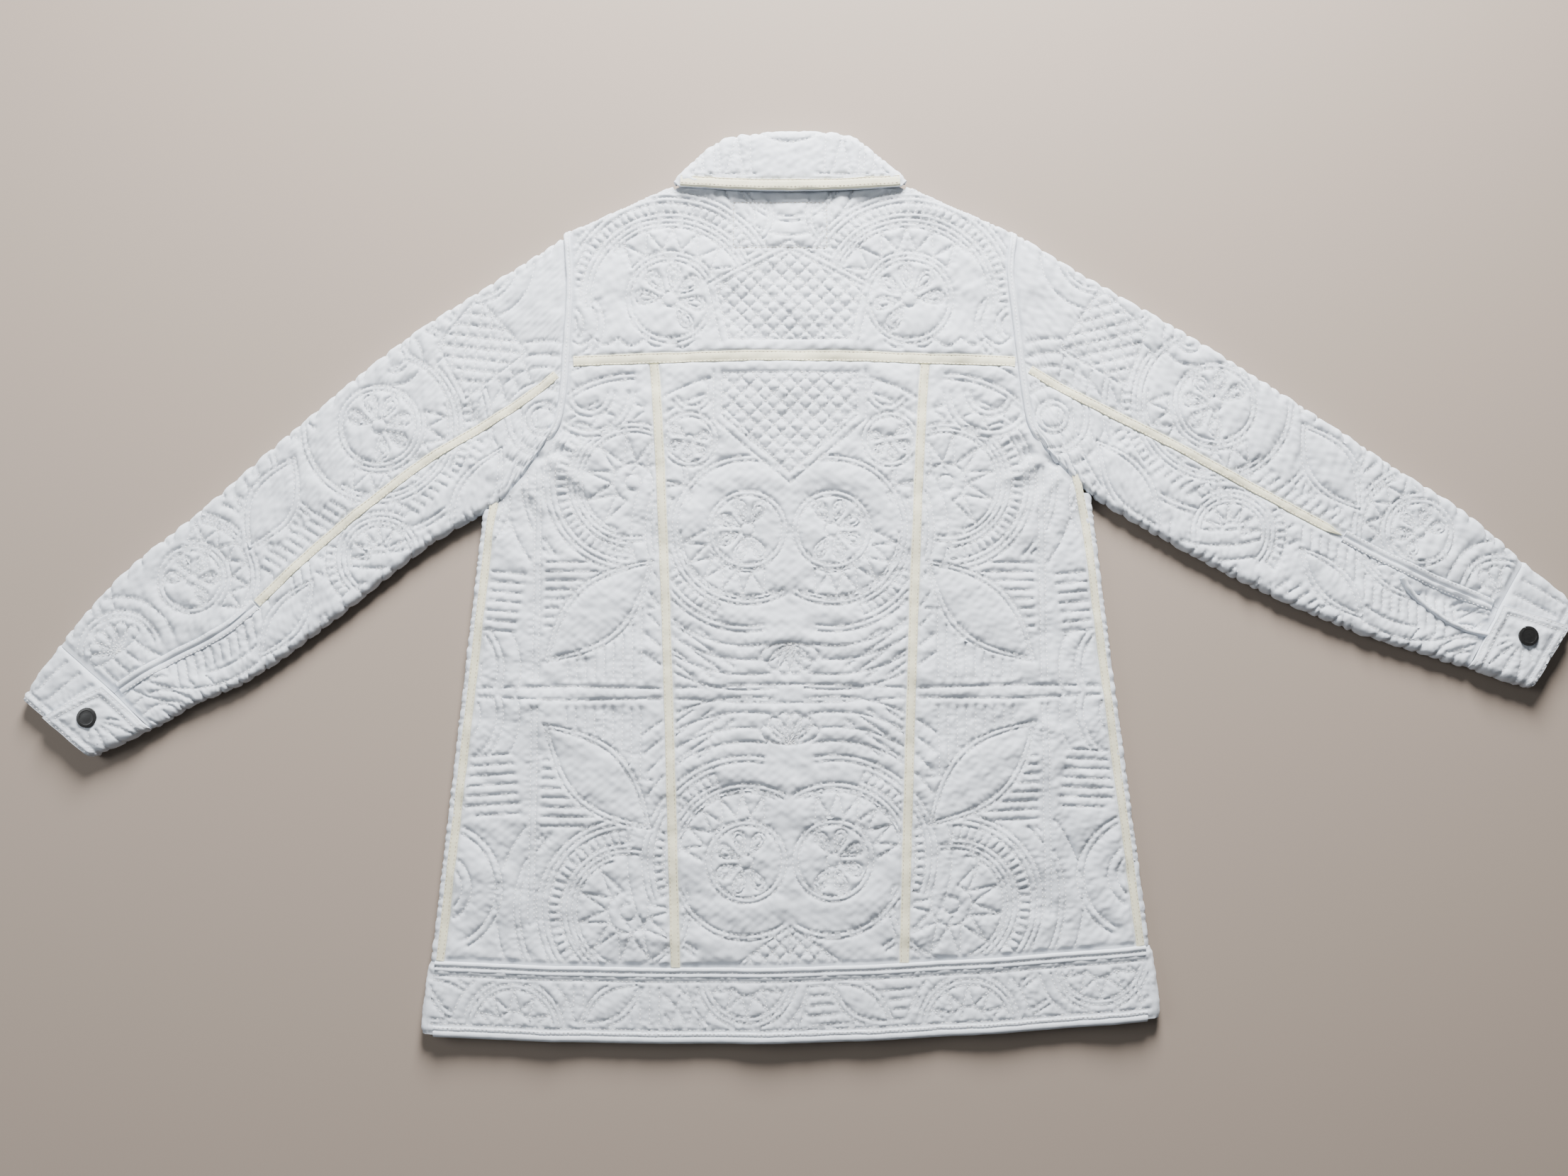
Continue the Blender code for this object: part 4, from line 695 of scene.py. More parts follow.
def sleeve_lines(side):
    """Motifs laid along the sleeve's own length, then turned into place."""
    rows = SLEEVE_ROWS[side]
    start, end = (np.array(((row.upper_x + row.lower_x) / 2, (row.upper_y + row.lower_y) / 2))
                  for row in (rows[0], rows[-1]))
    along = (end - start) / math.dist(end, start)
    up = np.array((along[1], -along[0])) if side < 0 else np.array((-along[1], along[0]))
    turn = np.vstack((along, up))
    motifs = [
        field([(26, 6), (94, 6), (84, 60), (30, 72)], 10.0, 45.0, crossed=True),
        flower(168, 34, 32, turn=180, spread=240),
        leaf(246, 56, 318, 20, 34),
        flower(376, 28, 25, petals=5, turn=160, spread=230),
        rays(168, 34, 41, 60, 200, 340, 7),
        arcs(168, 34, (64, 68.5), 150, 400),
        ladder(168, 34, 73, 82, 170, 250),
        rays(376, 28, 34, 50, 120, 260, 6),
        arcs(376, 28, (54, 58.5), 90, 300),
        fan(462, 16, 26, 20, 160, 6),
        arcs(462, 16, (31, 36, 48), 10, 200),
        leaf(100, -50, 178, -86, 28),
        rays(236, -58, 9, 26, 20, 200, 6),
        arcs(236, -58, (30, 34.5), -20, 220),
        ladder(236, -58, 39, 48, -10, 160),
        leaf(298, -40, 366, -62, 22),
        arcs(52, -50, (10, 15, 28, 33), 0, 360),
        comb([(196, 92), (330, 84), (330, 62), (250, 76), (216, 60)], 8.0, 75),
        arcs(64, 92, (9, 14), 180, 360),
        arcs(12, 96, (16, 30, 35, 50), 200, 360),
        arcs(120, 74, (8, 13, 24), 90, 330),
        comb([(212, 10), (330, 4), (330, -12), (212, -12)], 8.0, 70),
        comb([(96, -26), (196, -26), (196, -50), (110, -42)], 8.0, 66),
        comb([(104, -92), (196, -74), (200, -120), (104, -120)], 8.5, -60),
        comb([(276, -20), (440, -14), (440, -40), (370, -50), (290, -34)], 8.0, -64),
        comb([(290, -66), (430, -70), (430, -100), (280, -110)], 8.5, 60),
        arcs(168, 34, (94, 99, 112, 125, 138), 90, 420),
        arcs(376, 28, (70, 82, 94, 106), 0, 360),
        arcs(52, -50, (46, 58, 70), 0, 360),
        arcs(470, -60, (20, 32, 44, 56), 60, 260),
    ]
    return [line @ turn + start for line in uncovered(motifs)]


def hem_lines():
    """Motifs that the hem band's edges cut through."""
    level = (HEM_SEAM_Y + HEM_Y) / 2
    low, high = level - 24, level + 24

    def stretch(left, right):
        return [(left, high), (right, high), (right, low), (left, low)]

    motifs = []
    for x, foot, start in ((-232, low, 10), (-36, high, 190), (150, low, 10), (262, high, 190)):
        motifs.append(rays(x, foot, 16, 34, start, start + 160, 5))
        motifs.append(arcs(x, foot, (38.5, 43, 52), start, start + 160))
    for x, lean in ((-150, 1), (60, -1), (208, 1), (-282, -1)):
        motifs.append(leaf(x - 24, level - 16 * lean, x + 24, level + 16 * lean, 20))
        motifs.append(comb(stretch(x - 44, x + 44), 8.0, 90 if lean > 0 else 2))
    for x in (-190, -92, 14, 104, 236):
        motifs.append(arcs(x - 40, level - 30, (30, 35, 46, 58), -5, 80))
    motifs.append(comb(stretch(-300, 300), 13.0, 74))
    return uncovered(motifs)


# Cloth
PUFF = 2.4                      # how far the batting swells between rows of stitches
VALLEY = 1.2                    # how soon it does beside a row
PILLOW = 6.0                    # and further off
PUCKER = 1.2                    # depth of the wrinkles that cross a row of stitches
PUCKER_PITCH = 5.4
PUCKER_REACH = 3.0
SMOOTH_REACH = 0.8              # within it, the fine unevenness fades towards a row
PAINTED_SHADE_REACH = 1.3                # of the painted shade along a row, a darker line
FLAT_EDGE = 4.0                 # under the tape on a seam
SHARP_ANGLE = math.radians(70)


def hexagonal(outline, step):
    """Points of an even mesh inside an outline."""
    low, high = np.min(outline, axis=0), np.max(outline, axis=0)
    x, y = np.meshgrid(np.arange(low[0], high[0] + step, step),
                       np.arange(low[1], high[1] + step, step * 0.866))
    x[1::2] += step / 2
    points = np.column_stack((x.ravel(), y.ravel()))
    return points[inside(points, outline)]


def triangulated(rim, rows, fill):
    """Triangles inside a rim that keep the rows, and the rim's points among the new ones."""
    points = [Vector(p) for p in rim]
    edges = []
    for row in rows:
        edges += [(len(points) + i, len(points) + i + 1) for i in range(len(row) - 1)]
        points += [Vector(p) for p in row]
    points += [Vector(p) for p in fill]
    out = delaunay_2d_cdt(points, edges, [list(range(len(rim)))], 1, 1e-4)
    found = {}
    for index, sources in enumerate(out[3]):
        for source in sources:
            if source < len(rim):
                found[source] = index
    places = np.array([tuple(p) for p in out[0]])
    return places, np.array(out[2]), np.array([found[i] for i in range(len(rim))])


def swelling(points, rows, edge_gap, puff, seed):
    """How far the outside stands off between stitched rows, and a mask of painted shade along the
    rows.
    """
    edge_room = np.maximum(0.0, edge_gap)
    near = edge_room
    pucker = np.zeros(len(points))
    if rows:
        draw = np.random.default_rng(seed)
        samples = [resample(row, SAMPLE_STEP) for row in rows]
        places = np.concatenate([np.arange(len(sample)) * SAMPLE_STEP + draw.uniform(0, 40)
                                 for sample in samples])
        index, distance = nearest(tree_of(np.vstack(samples)), points)
        near = np.minimum(distance, edge_room)
        phase = places[index] * math.tau / PUCKER_PITCH + 1.6 * ripples(points, 17.0, seed + 1)
        strength = np.clip(0.75 + 0.6 * ripples(points, 33.0, seed + 2), 0.2, 1.4)
        wrinkle = (0.5 + 0.5 * np.cos(phase)) ** 3
        pucker = -PUCKER * strength * wrinkle * np.exp(-distance / PUCKER_REACH)
    swell = puff * (0.6 * (1 - np.exp(-near / VALLEY)) + 0.4 * (1 - np.exp(-near / PILLOW)))
    soft = 1 - np.exp(-near / SMOOTH_REACH)
    fine = 0.20 * ripples(points, 7.0, seed + 3) + 0.30 * ripples(points, 14.0, seed + 4)
    # the second value masks the painted shade that darkens the cloth along each row
    return swell + (pucker + fine) * soft, np.exp(-near / PAINTED_SHADE_REACH)


Quilt = namedtuple("Quilt", "name outline place wall rows dents folds shown flat_edge puff seed")


def quilt_of(name, outline, place, rows, seed, wall=WALL, dents=(), folds=(), shown=None,
             flat_edge=FLAT_EDGE, puff=PUFF):
    """What one cut piece of cloth needs.

    Its outline and its stitched rows are in its flat plan, which place(points, out) puts on
    the jacket. Dents are rows without thread, folds are lines that the mesh keeps, and
    shown(points) says where the quilting is seen.
    """
    outline = np.array(outline, dtype=float)
    if signed_area(outline) < 0:
        outline = outline[::-1]
    return Quilt(name, outline, place, wall, list(rows), list(dents), list(folds), shown,
                 flat_edge, puff, seed)


def build_quilt(quilt, look):
    """A closed wall of cloth, fine and quilted on its shown side and plain inside."""
    rim = resample(quilt.outline, RIM_STEP, closed=True)
    rows = [resample(row, ROW_STEP) for row in quilt.rows + quilt.dents]
    folds = [resample(row, RIM_STEP) for row in quilt.folds]
    shown = quilt.shown or (lambda p: np.ones(len(p), dtype=bool))
    kept_tree = tree_of(np.vstack([resample(rim, 1.0, closed=True)] + rows + folds))
    fill = []
    for spacing, fine in ((FINE_STEP, True), (COARSE_STEP, False)):
        spots = hexagonal(quilt.outline, spacing)
        spots = spots[shown(spots) == fine]
        if len(spots):
            fill.append(spots[nearest(kept_tree, spots)[1] > 0.62 * min(spacing, 4.0)])
    points, faces, rim_index = triangulated(rim, rows + folds, np.vstack(fill))
    edge = nearest(tree_of(resample(rim, 1.0, closed=True)), points)[1]
    swell, mark = swelling(points, rows, edge - quilt.flat_edge, quilt.puff, quilt.seed)
    mask = shown(points)
    outer = quilt.place(points, np.where(mask, swell, 0.0))

    spots = hexagonal(quilt.outline, COARSE_STEP)
    inner_tree = tree_of(np.vstack([rim] + folds))
    spots = spots[nearest(inner_tree, spots)[1] > 5.0]
    inner_points, inner_faces, inner_rim = triangulated(rim, folds, spots)
    inner = quilt.place(inner_points, np.full(len(inner_points), -quilt.wall))
    first = len(outer)
    count = len(rim)
    following = np.roll(np.arange(count), -1)
    a, b = rim_index, rim_index[following]
    c, d = inner_rim + first, inner_rim[following] + first
    sides = np.vstack((np.column_stack((b, a, c)), np.column_stack((b, c, d))))
    triangles = np.vstack((faces, inner_faces[:, ::-1] + first, sides))
    plan = np.vstack((points, inner_points))
    # where painted shade darkens the cloth along the rows, kept as the stitched attribute
    marks = np.concatenate((np.where(mask, mark, 0.0), np.zeros(len(inner_points))))
    return add_mesh(quilt.name, np.vstack((outer, inner)), triangles, look, plan, marks)


def add_mesh(name, points, triangles, look, plan=None, marks=None):
    """A smooth mesh in metres whose faces point out, with its flat plan as UV map."""
    points = settled(points)
    points[:, 2] = np.maximum(points[:, 2], 0.0)
    a, b, c = (points[triangles[:, k]] for k in range(3))
    if np.einsum("ij,ij->i", a, np.cross(b, c)).sum() < 0:
        triangles = triangles[:, ::-1]
    mesh = bpy.data.meshes.new(name)
    mesh.from_pydata((points * MM).tolist(), [], triangles.tolist())
    mesh.polygons.foreach_set("use_smooth", [True] * len(mesh.polygons))
    if plan is None:
        plan = points[:, :2]
    layer = mesh.uv_layers.new(name="Cut")
    corners = np.empty(len(mesh.loops), dtype=np.int32)
    mesh.loops.foreach_get("vertex_index", corners)
    layer.data.foreach_set("uv", (plan[corners] * MM).ravel())
    # the stitched attribute masks the painted shade along the stitched rows
    if marks is not None:
        mesh.attributes.new("stitched", "FLOAT", "POINT").data.foreach_set("value", marks)
    mesh.materials.append(look)
    mesh.set_sharp_from_angle(angle=SHARP_ANGLE)
    made = bpy.data.objects.new(name, mesh)
    bpy.context.collection.objects.link(made)
    return made


def declare(piece, quilt, nodes, lies_on):
    """Attaches a cut piece to the root and hides the solids that it replaces. Its area and flat
    size are worked out but not kept; lies_on is not used.
    """
    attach(piece, "root")
    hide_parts(*nodes)
    area = abs(signed_area(quilt.outline)) * MM * MM
    size = (np.ptp(quilt.outline[:, 0]) * MM, np.ptp(quilt.outline[:, 1]) * MM)
    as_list(lies_on)


# Stitches
def sew(name, runs, look, length=STITCH_LENGTH, gap=STITCH_GAP, width=1.0):
    """Thread along runs of (points, normals): a little raised stitch for each step."""
    draw = np.random.default_rng(STITCH_SEED)
    corners = []
    for points, normals in runs:
        steps = np.hypot(*np.diff(points, axis=0)[:, :2].T)
        along = np.concatenate(([0.0], np.cumsum(steps)))
        count = int((along[-1] - 0.5) / (length + gap))
        if count < 1:
            continue
        starts = draw.uniform(0, gap) + (length + gap) * np.arange(count)
        ends = np.minimum(starts + length * draw.uniform(0.85, 1.08, count), along[-1])
        halfway = (starts + ends) / 2
        a, b, n = (np.column_stack([np.interp(at, along, rows[:, k]) for k in range(3)])
                   for at, rows in ((starts, points), (ends, points), (halfway, normals)))
        middle = (a + b) / 2
        way = (b - a) / np.maximum(1e-6, np.linalg.norm(b - a, axis=1))[:, None]
        side = np.cross(n, way) * width / 2
        rise = n * STITCH_RISE
        corners.append(np.stack((a, b, middle - side + rise * 0.45, middle + side + rise * 0.45,
                                 middle + rise, middle - rise * 0.4), axis=1))
    corners = np.vstack(corners)
    shape = np.array([(0, 3, 4), (3, 1, 4), (1, 2, 4), (2, 0, 4),
                      (3, 0, 5), (1, 3, 5), (2, 1, 5), (0, 2, 5)])
    triangles = (np.arange(len(corners))[:, None, None] * 6 + shape[None]).reshape(-1, 3)
    made = add_mesh(name, corners.reshape(-1, 3), triangles, look)
    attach(made, "root")


def runs_on(place, lines, out=0.1):
    """The points of stitched lines in place and the way they face, line by line."""
    joined = np.vstack(lines)
    points = place(joined, np.full(len(joined), out))
    normals = place(joined, np.full(len(joined), out + 1.0)) - points
    normals /= np.maximum(1e-6, np.linalg.norm(normals, axis=1))[:, None]
    ends = np.cumsum([len(line) for line in lines])[:-1]
    return list(zip(np.split(points, ends), np.split(normals, ends)))


def run_on(place, line, out):
    return runs_on(place, [line], out)[0]


# Tapes
TAPE_RISE = 1.3
TAPE_STITCH_INSET = 1.2


def band(name, path, place, profile, look, under=None, point=0.0):
    """A strip along a path in a flat plan, its section given as (across, rise) rows.

    Its far end narrows over the length point.
    """
    path = np.array(path, dtype=float)
    left = left_of(path)
    wobble = 1 + 0.035 * ripples(path, 19.0, 31)
    if point:
        wobble *= np.clip(np.hypot(*(path - path[-1]).T) / point, 0.08, 1.0)
    layers = []
    for across, rise in profile:
        spots = path + left * (across * wobble)[:, None]
        uneven = 1 + (0.10 * ripples(spots, 11.0, 32) if rise > 0 else 0.0)
        layers.append(place(spots, rise * uneven))
    for across, rise in under or [(profile[-1][0], 0.05), (profile[0][0], 0.05)]:
        layers.append(place(path + left * (across * wobble)[:, None], np.full(len(path), rise)))
    width, count = len(layers), len(path)
    points = np.stack(layers, axis=1).reshape(-1, 3)
    triangles = []
    for i in range(count - 1):
        for k in range(width):
            a, b = i * width + k, i * width + (k + 1) % width
            triangles += [(a, b, b + width), (a, b + width, a + width)]
    last = (count - 1) * width
    for k in range(1, width - 1):
        triangles += [(0, k + 1, k), (last, last + k, last + k + 1)]
    made = add_mesh(name, points, np.array(triangles), look)
    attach(made, "root")
    return made


def tape_profile(width):
    """A flat tape's section: rolled edges, and a dip under each row of edge stitches."""
    half, rise = width / 2, TAPE_RISE
    edge = half - TAPE_STITCH_INSET
    return [(-half, 0.25), (-half + 0.25, rise * 0.85), (-half + 0.7, rise), (-edge, rise * 0.78),
            (-edge + 0.8, rise), (0.0, rise * 1.12), (edge - 0.8, rise), (edge, rise * 0.78),
            (half - 0.7, rise), (half - 0.25, rise * 0.85), (half, 0.25)]


def tape_piece(name, path, width, place, look, runs, point=0.0):
    """A bias tape, its edge stitches added to runs."""
    path = resample(path, TAPE_STEP)
    made = band(name, path, place, tape_profile(width), look, point=point)
    kept = np.hypot(*(path - path[-1]).T) >= point
    edge = width / 2 - TAPE_STITCH_INSET
    runs += [run_on(place, offset_path(path, across)[kept], TAPE_RISE * 0.8)
             for across in (-edge, edge)]
    return made


# Places on the body
def back_place(points, out):
    """The back's surface, as far out of it as out says."""
    return np.column_stack((points, back_height(points) + out))


def yoke_place(points, out):
    """The back's surface, turned down over the shoulder fold."""
    placed = back_place(points, out)
    side = side_of(points[:, 0])
    for way in (-1, 1):
        distance, foot, normal = nearest_on(shoulder_path(way, FOLD_RADIUS), points)
        outward = normal * way
        beyond = (side == way) & (((points - foot) * outward).sum(axis=1) > 0)
        angle = distance / FOLD_RADIUS
        spot = foot + outward * ((FOLD_RADIUS + out) * np.sin(angle))[:, None]
        height = FOLD_RADIUS + (FOLD_RADIUS + out) * np.cos(angle)
        placed = np.where(beyond[:, None], np.column_stack((spot, height)), placed)
    return placed


def front_lift(side, x):
    """How the left front rises to lie over the right one."""
    if side > 0:
        return np.zeros(len(x))
    return FRONT_LIFT * smooth_step((x + LIFT_START) / (LIFT_START - FRONT_OVERLAP - 2))


def front_place(side):
    """The place of a front, its side edge folded up and over."""
    def place(points, out):
        u, v = points[:, 0], points[:, 1]
        flat = np.abs(side_x(side, np.minimum(v, FOLD_TOP[side]))) - FOLD_RADIUS
        past = side * u - flat
        angle = np.clip(past / FOLD_RADIUS, 0.0, math.pi)
        run = np.maximum(0.0, past - math.pi * FOLD_RADIUS)
        turned = np.column_stack((side * (flat + (FOLD_RADIUS + out) * np.sin(angle) - run), v,
                                  FOLD_RADIUS - (FOLD_RADIUS + out) * np.cos(angle)))
        level = np.column_stack((u, v, front_lift(side, u) - out))
        return np.where(((past <= 0) | (v > FOLD_TOP[side] + 1))[:, None], level, turned)
    return place


def hem_side_x(side, y):
    return np.abs(side_x(side, y)) + 1.0


def hem_height(points):
    top = np.column_stack((points[:, 0], np.full(len(points), HEM_SEAM_Y)))
    return back_height(top) + 0.6 * smooth_step((HEM_SEAM_Y - points[:, 1]) / 30)


def hem_place(points, out):
    """The hem band, round the side folds to the fronts."""
    u, v = points[:, 0], points[:, 1]
    side = side_of(u)
    flat = hem_side_x(side, v) - HEM_RADIUS
    past = np.abs(u) - flat
    angle = np.clip(past / HEM_RADIUS, 0.0, math.pi)
    run = np.maximum(0.0, past - math.pi * HEM_RADIUS)
    x = side * (flat + (HEM_RADIUS + out) * np.sin(angle) - run)
    edge = hem_height(np.column_stack((side * flat, v))) - 2 * HEM_RADIUS
    turned = HEM_RADIUS + (HEM_RADIUS + out) * np.cos(angle) + edge * 0.5 * (1 + np.cos(angle))
    floor = np.where(side > 0, 0.0, front_lift(-1, x)) - out
    height = np.where(past <= 0, hem_height(points) + out, np.where(run > 0, floor, turned))
    return np.column_stack((np.where(past <= 0, u, x), v, height))


# Cut pieces of the body
def shoulder_outline(side):
    depth = FOLD_RADIUS * SHOULDER_WRAP
    a, b = shoulder_path(side, FOLD_RADIUS)
    along = (b - a) / math.dist(a, b)
    outward = np.array((-along[1], along[0])) * side
    start, end = a + along * 31, b - along * 31
    return [start, start + outward * depth, end + outward * depth, end]


def armhole_run(side, low, high, inset):
    path = offset_path(resample(ARMHOLE[side], 12), -inset * side)
    return [tuple(p) for p in path if low <= p[1] <= high]


def yoke_seam_path(gap, left, right):
    xs = np.linspace(left, right, 41)
    return [(x, yoke_seam_y(x) + gap) for x in xs]


def yoke_quilt():
    left_edge, right_edge = shoulder_outline(-1), shoulder_outline(1)
    left_arm = armhole_run(-1, yoke_seam_y(-195) + 5, 246, HALF_GAP)
    right_arm = armhole_run(1, yoke_seam_y(200) + 5, 248, HALF_GAP)
    seam = yoke_seam_path(HALF_GAP, left_arm[-1][0], right_arm[-1][0])
    neck = [(x, collar_edge_y(x) + NECK_SEAM_LAP) for x in np.linspace(-88, 88, 13)]
    outline = seam + right_arm[::-1] + right_edge[::-1] + neck[::-1] + left_edge + left_arm

    def allowed(p):
        return (inside(p, outline) & (p[:, 1] > yoke_seam_y(p[:, 0]) + SEAM_MARGIN)
                & (nearest_on(ARMHOLE[-1], p)[0] > ROW_MARGIN)
                & (nearest_on(ARMHOLE[1], p)[0] > ROW_MARGIN)
                & (p[:, 1] < collar_edge_y(p[:, 0]) + 4))

    return quilt_of("quilt_back_yoke", outline, yoke_place, clipped(body_lines(), allowed),
                    seed=21, dents=[LABEL + LABEL[:1]])


def panel_heights():
    return np.linspace(HEM_SEAM_Y + HALF_GAP, yoke_seam_y(BACK_SEAM_TOP_X) - HALF_GAP, 40)


def centre_quilt():
    left = [(back_seam_x(-1, y) + HALF_GAP, y) for y in panel_heights()]
    right = [(back_seam_x(1, y) - HALF_GAP, y) for y in panel_heights()]
    top = yoke_seam_path(-HALF_GAP, left[-1][0], right[-1][0])[1:-1]
    outline = right + top[::-1] + left[::-1]

    def allowed(p):
        return ((np.abs(p[:, 0]) < np.abs(back_seam_x(1, p[:, 1])) - ROW_MARGIN)
                & (p[:, 1] > HEM_SEAM_Y + ROW_MARGIN)
                & (p[:, 1] < yoke_seam_y(p[:, 0]) - SEAM_MARGIN))

    return quilt_of("quilt_back_centre", outline, back_place, clipped(body_lines(), allowed),
                    seed=22)


UNDERARM_INSET = 1.2


def underarm_path(side, inset):
    """The edge of the body under the sleeve, from the armhole notch to the side fold."""
    sleeve = Sleeve(side)
    points = [p for p in sleeve.lower[::2] if abs(p[0]) < abs(float(side_x(side, CHEST_Y))) - 2]
    return [tuple(p) for p in offset_path(points, -inset * side)]


def side_quilt(side, word):
    inner = [(back_seam_x(side, y) + side * HALF_GAP, y) for y in panel_heights()]
    under = underarm_path(side, UNDERARM_INSET)
    arm = armhole_run(side, under[0][1] + 6, yoke_seam_y(side * 200) - 4, HALF_GAP)
    outer_ys = np.linspace(FOLD_TOP[side], HEM_SEAM_Y + HALF_GAP, 17)
    outer = [(float(side_x(side, y)) - side * (SIDE_SEAM_INSET + HALF_GAP), y) for y in outer_ys]
    corner_x = float(armhole_x(side, yoke_seam_y(side * 200))) - side * HALF_GAP
    top = [(x, yoke_seam_y(x) - HALF_GAP) for x in np.linspace(corner_x, inner[-1][0], 6)]
    under = [p for p in under if abs(p[0]) < abs(outer[0][0]) - 2]
    outline = inner + top[1:-1][::-1] + [top[0]] + arm + under + outer

    def allowed(p):
        x, y = p[:, 0], p[:, 1]
        return (inside(p, outline) & (np.abs(x) > np.abs(back_seam_x(1, y)) + ROW_MARGIN)
                & (np.abs(x) < np.abs(side_x(side, y)) - SIDE_SEAM_INSET - ROW_MARGIN)
                & (y > HEM_SEAM_Y + ROW_MARGIN) & (y < yoke_seam_y(x) - SEAM_MARGIN)
                & (nearest_on(ARMHOLE[side], p)[0] > ROW_MARGIN))

    return quilt_of(f"quilt_back_side_{word}", outline, back_place,
                    clipped(body_lines(), allowed), seed=23 + side)


def front_quilt(side, word):
    """A front on the surface, its side edge folded up and over to the side seam."""
    top_y = FOLD_TOP[side]
    strip_width = SIDE_SEAM_INSET - FOLD_RADIUS - HALF_GAP
    turn = math.pi * FOLD_RADIUS

    def fold_u(y, past):
        return side * (abs(float(side_x(side, y))) - FOLD_RADIUS + past)

    ys = np.linspace(HEM_SEAM_Y + HALF_GAP, top_y, 9)
    centre = -side * FRONT_OVERLAP
    under = underarm_path(side, UNDERARM_INSET)
    arm = armhole_run(side, under[0][1] + 6, 246, HALF_GAP)
    shoulder = [(side * (SHOULDER_POINT[0] - 5), SHOULDER_POINT[1] - 3.5),
                (side * (NECK_POINT[0] - 6), NECK_POINT[1] - 3)]
    neck = [(side * x, y) for x, y in FRONT_NECK]
    under = [p for p in under if abs(p[0]) < abs(fold_u(top_y, 0)) - 2]
    outline = [(centre, ys[0]), (fold_u(ys[0], 0), ys[0]), (fold_u(ys[0], turn), ys[0])]
    outline += [(fold_u(y, turn + strip_width), y) for y in ys]
    outline += [(fold_u(top_y, turn), top_y), (fold_u(top_y, 0), top_y)]
    outline += under[::-1] + arm[::-1] + shoulder + neck + [(centre, FRONT_NECK_DEPTH), (centre, 0)]
    folds = [[(fold_u(y, turn * f), y) for y in (ys[0] + 0.6, *ys[1:-1], top_y - 0.6)]
             for f in (0.0, 0.25, 1.0)]

    def shown(p):
        flat = np.abs(side_x(side, np.minimum(p[:, 1], top_y))) - FOLD_RADIUS
        return (side * p[:, 0] - flat > turn * 0.3) & (p[:, 1] <= top_y)

    rows = []
    draw = np.random.default_rng(90 + side)
    y = HEM_SEAM_Y + 8
    while y < top_y - 8:
        lean = draw.uniform(-3, 3)
        rows.append([(fold_u(y, turn * 0.35), y),
                     (fold_u(y + lean, turn + strip_width * 0.6), y + lean)])
        y += draw.uniform(5, 13)
    return quilt_of(f"quilt_front_{word}", outline, front_place(side), rows, seed=27 + side,
                    wall=THIN_WALL, folds=folds, shown=shown, flat_edge=0.0, puff=0.9)


